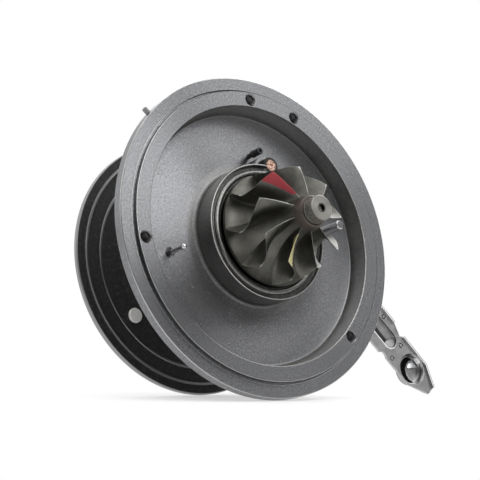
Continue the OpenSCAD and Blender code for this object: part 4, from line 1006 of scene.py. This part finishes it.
def makeTurbineWheel(spec):
    bm = bmesh.new()
    layers = [bm.verts.layers.float.new(name) for name in bladeMarks]
    hub = [quarter(spec["rootStart"], spec["rootEnd"], i / 20) for i in range(21)]
    nose, back = spec["nose"], spec["back"]
    revolve(bm, [(0, nose[1]), nose, *hub, back, (0, back[1])], 96)
    for i in range(spec["blades"]):
        addBlade(bm, layers, spec, turbineFlank, i * 360 / spec["blades"])
    nut = spec["hex"]
    lying = Matrix.Rotation(math.pi / 2, 4, "X")
    made = bmesh.ops.create_cone(
        bm, cap_ends=True, segments=6, radius1=nut["radius"] * mm, radius2=nut["radius"] * mm,
        depth=nut["depth"] * mm, matrix=Matrix.Translation((0, -nut["place"] * mm, 0)) @ lying,
    )
    bevelEdges(bm, list({e for v in made["verts"] for e in v.link_edges}), nut["bevel"])
    keep(bm, "turbine_wheel_cast", "rotor", "turbine_alloy", ["turbine_wheel"])


makeTurbineWheel(turbineWheel)
print("turbine wheel is cast")


# Bent tongue of the spring plate in the far socket

springTongue = {
    "centre": linkFinish["far"],
    "height": -37.35,
    "middle": (3.1, 1.1),
    "half": (2.9, 3.0),
    "tilt": 0.13,
    "towards": (-0.866, 0.5),
    "thick": 0.4,
    "bevel": 0.08,
    "steps": 20,
}


def makeTongue(spec):
    bm = bmesh.new()
    verts = []
    for i in range(spec["steps"] + 1):
        turn = math.pi * i / spec["steps"]
        dx = spec["middle"][0] + spec["half"][0] * math.cos(turn)
        dz = spec["middle"][1] + spec["half"][1] * math.sin(turn)
        height = spec["height"] - spec["tilt"] * (dx * spec["towards"][0] + dz * spec["towards"][1])
        verts.append(bm.verts.new(Vector((spec["centre"][0] + dx, -height, spec["centre"][1] + dz)) * mm))
    face = bm.faces.new(verts)
    made = bmesh.ops.extrude_face_region(bm, geom=[face])
    moved = [v for v in made["geom"] if isinstance(v, bmesh.types.BMVert)]
    bmesh.ops.translate(bm, verts=moved, vec=(0, spec["thick"] * mm, 0))
    bevelEdges(bm, list(bm.edges), spec["bevel"])
    keep(bm, "socket_tongue", "link", "spring_steel")


makeTongue(springTongue)
print("spring tongue is bent")


# Black stud with its moulded collars

ribbedStud = {
    "place": (6.0, 39.85),
    # radius and height of each corner, from its foot to the hole in its end
    "outline": (
        (0, -12.3), (1.2, -12.3), (1.2, -8.6), (0.95, -8.4), (0.95, -7.0), (1.35, -6.8), (1.35, -6.3),
        (1.7, -6.1), (1.7, -5.0), (1.3, -4.7), (1.1, -4.5), (1.1, -3.9), (1.4, -3.7), (1.65, -3.4),
        (1.65, -2.5), (1.35, -2.3), (1.35, -1.9), (1.65, -1.7), (1.65, -0.5), (1.45, -0.3), (0.85, -0.3),
        (0.7, -0.5), (0.7, -1.6), (0, -1.6),
    ),
    "steps": 32,
}


def makeStud(spec):
    bm = bmesh.new()
    x, z = spec["place"]
    revolve(bm, spec["outline"], spec["steps"], Vector((x, 0, z)) * mm)
    keep(bm, "ribbed_stud", "housing", "black_plastic", ["black_stud"], 25)


makeStud(ribbedStud)
print("stud is moulded")


# Threads in the tapped holes

threadForm = {
    "stand": 0.3,  # height of the thread and half its foot, as shares of the pitch
    "foot": 0.36,
    "sunk": 0.04,  # how far the foot goes into the hole's wall, in millimetres
    "steps": 24,  # per turn
}
tappedHoles = {
    # feet on the holes' axes, way out of the hole, radius, pitch and turns
    "cover_thread": {
        "feet": ((4.49, 7.6, 64.24), (29.24, 7.6, 57.38), (-64.31, 7.6, -3.37), (43.09, 7.6, -47.86)),
        "way": (0, -1, 0), "radius": 2.5, "pitch": 1.0, "turns": 6.4,
    },
    "oil_inlet_thread": {
        "feet": ((0, 37.83, 26.5),),
        "way": (0, 0, 1), "radius": 4.5, "pitch": 1.25, "turns": 7.0,
    },
    "drain_thread": {
        "feet": ((18, 37.83, -28.5), (-18, 37.83, -28.5)),
        "way": (0, 0, -1), "radius": 2.5, "pitch": 1.0, "turns": 8.4,
    },
}


def cutThread(name, form, hole, foot):
    foot, way = Vector(foot), Vector(hole["way"])
    radius, pitch, turns = hole["radius"], hole["pitch"], hole["turns"]
    side = way.orthogonal().normalized()
    outer, inner = radius + form["sunk"], radius - form["stand"] * pitch
    corners = ((outer, -form["foot"]), (inner, 0), (outer, form["foot"]))
    bm = bmesh.new()
    verts = [bm.verts.new((foot + side * out + way * rise * pitch) * mm) for out, rise in corners]
    edges = [bm.edges.new((verts[i], verts[i - 1])) for i in range(3)]
    steps = round(form["steps"] * turns)
    made = bmesh.ops.spin(
        bm, geom=verts + edges, cent=foot * mm, axis=way, dvec=way * (pitch * turns / steps) * mm,
        angle=math.tau * turns, steps=steps,
    )
    bm.faces.new(verts)
    bm.faces.new([v for v in made["geom_last"] if isinstance(v, bmesh.types.BMVert)])
    keep(bm, name, "housing", "ring_iron")


def cutThreads(form, holes):
    for kind, hole in holes.items():
        for i, foot in enumerate(hole["feet"], 1):
            cutThread(f"{kind}_{i}" if len(hole["feet"]) > 1 else kind, form, hole, foot)


cutThreads(threadForm, tappedHoles)
print("threads are cut")
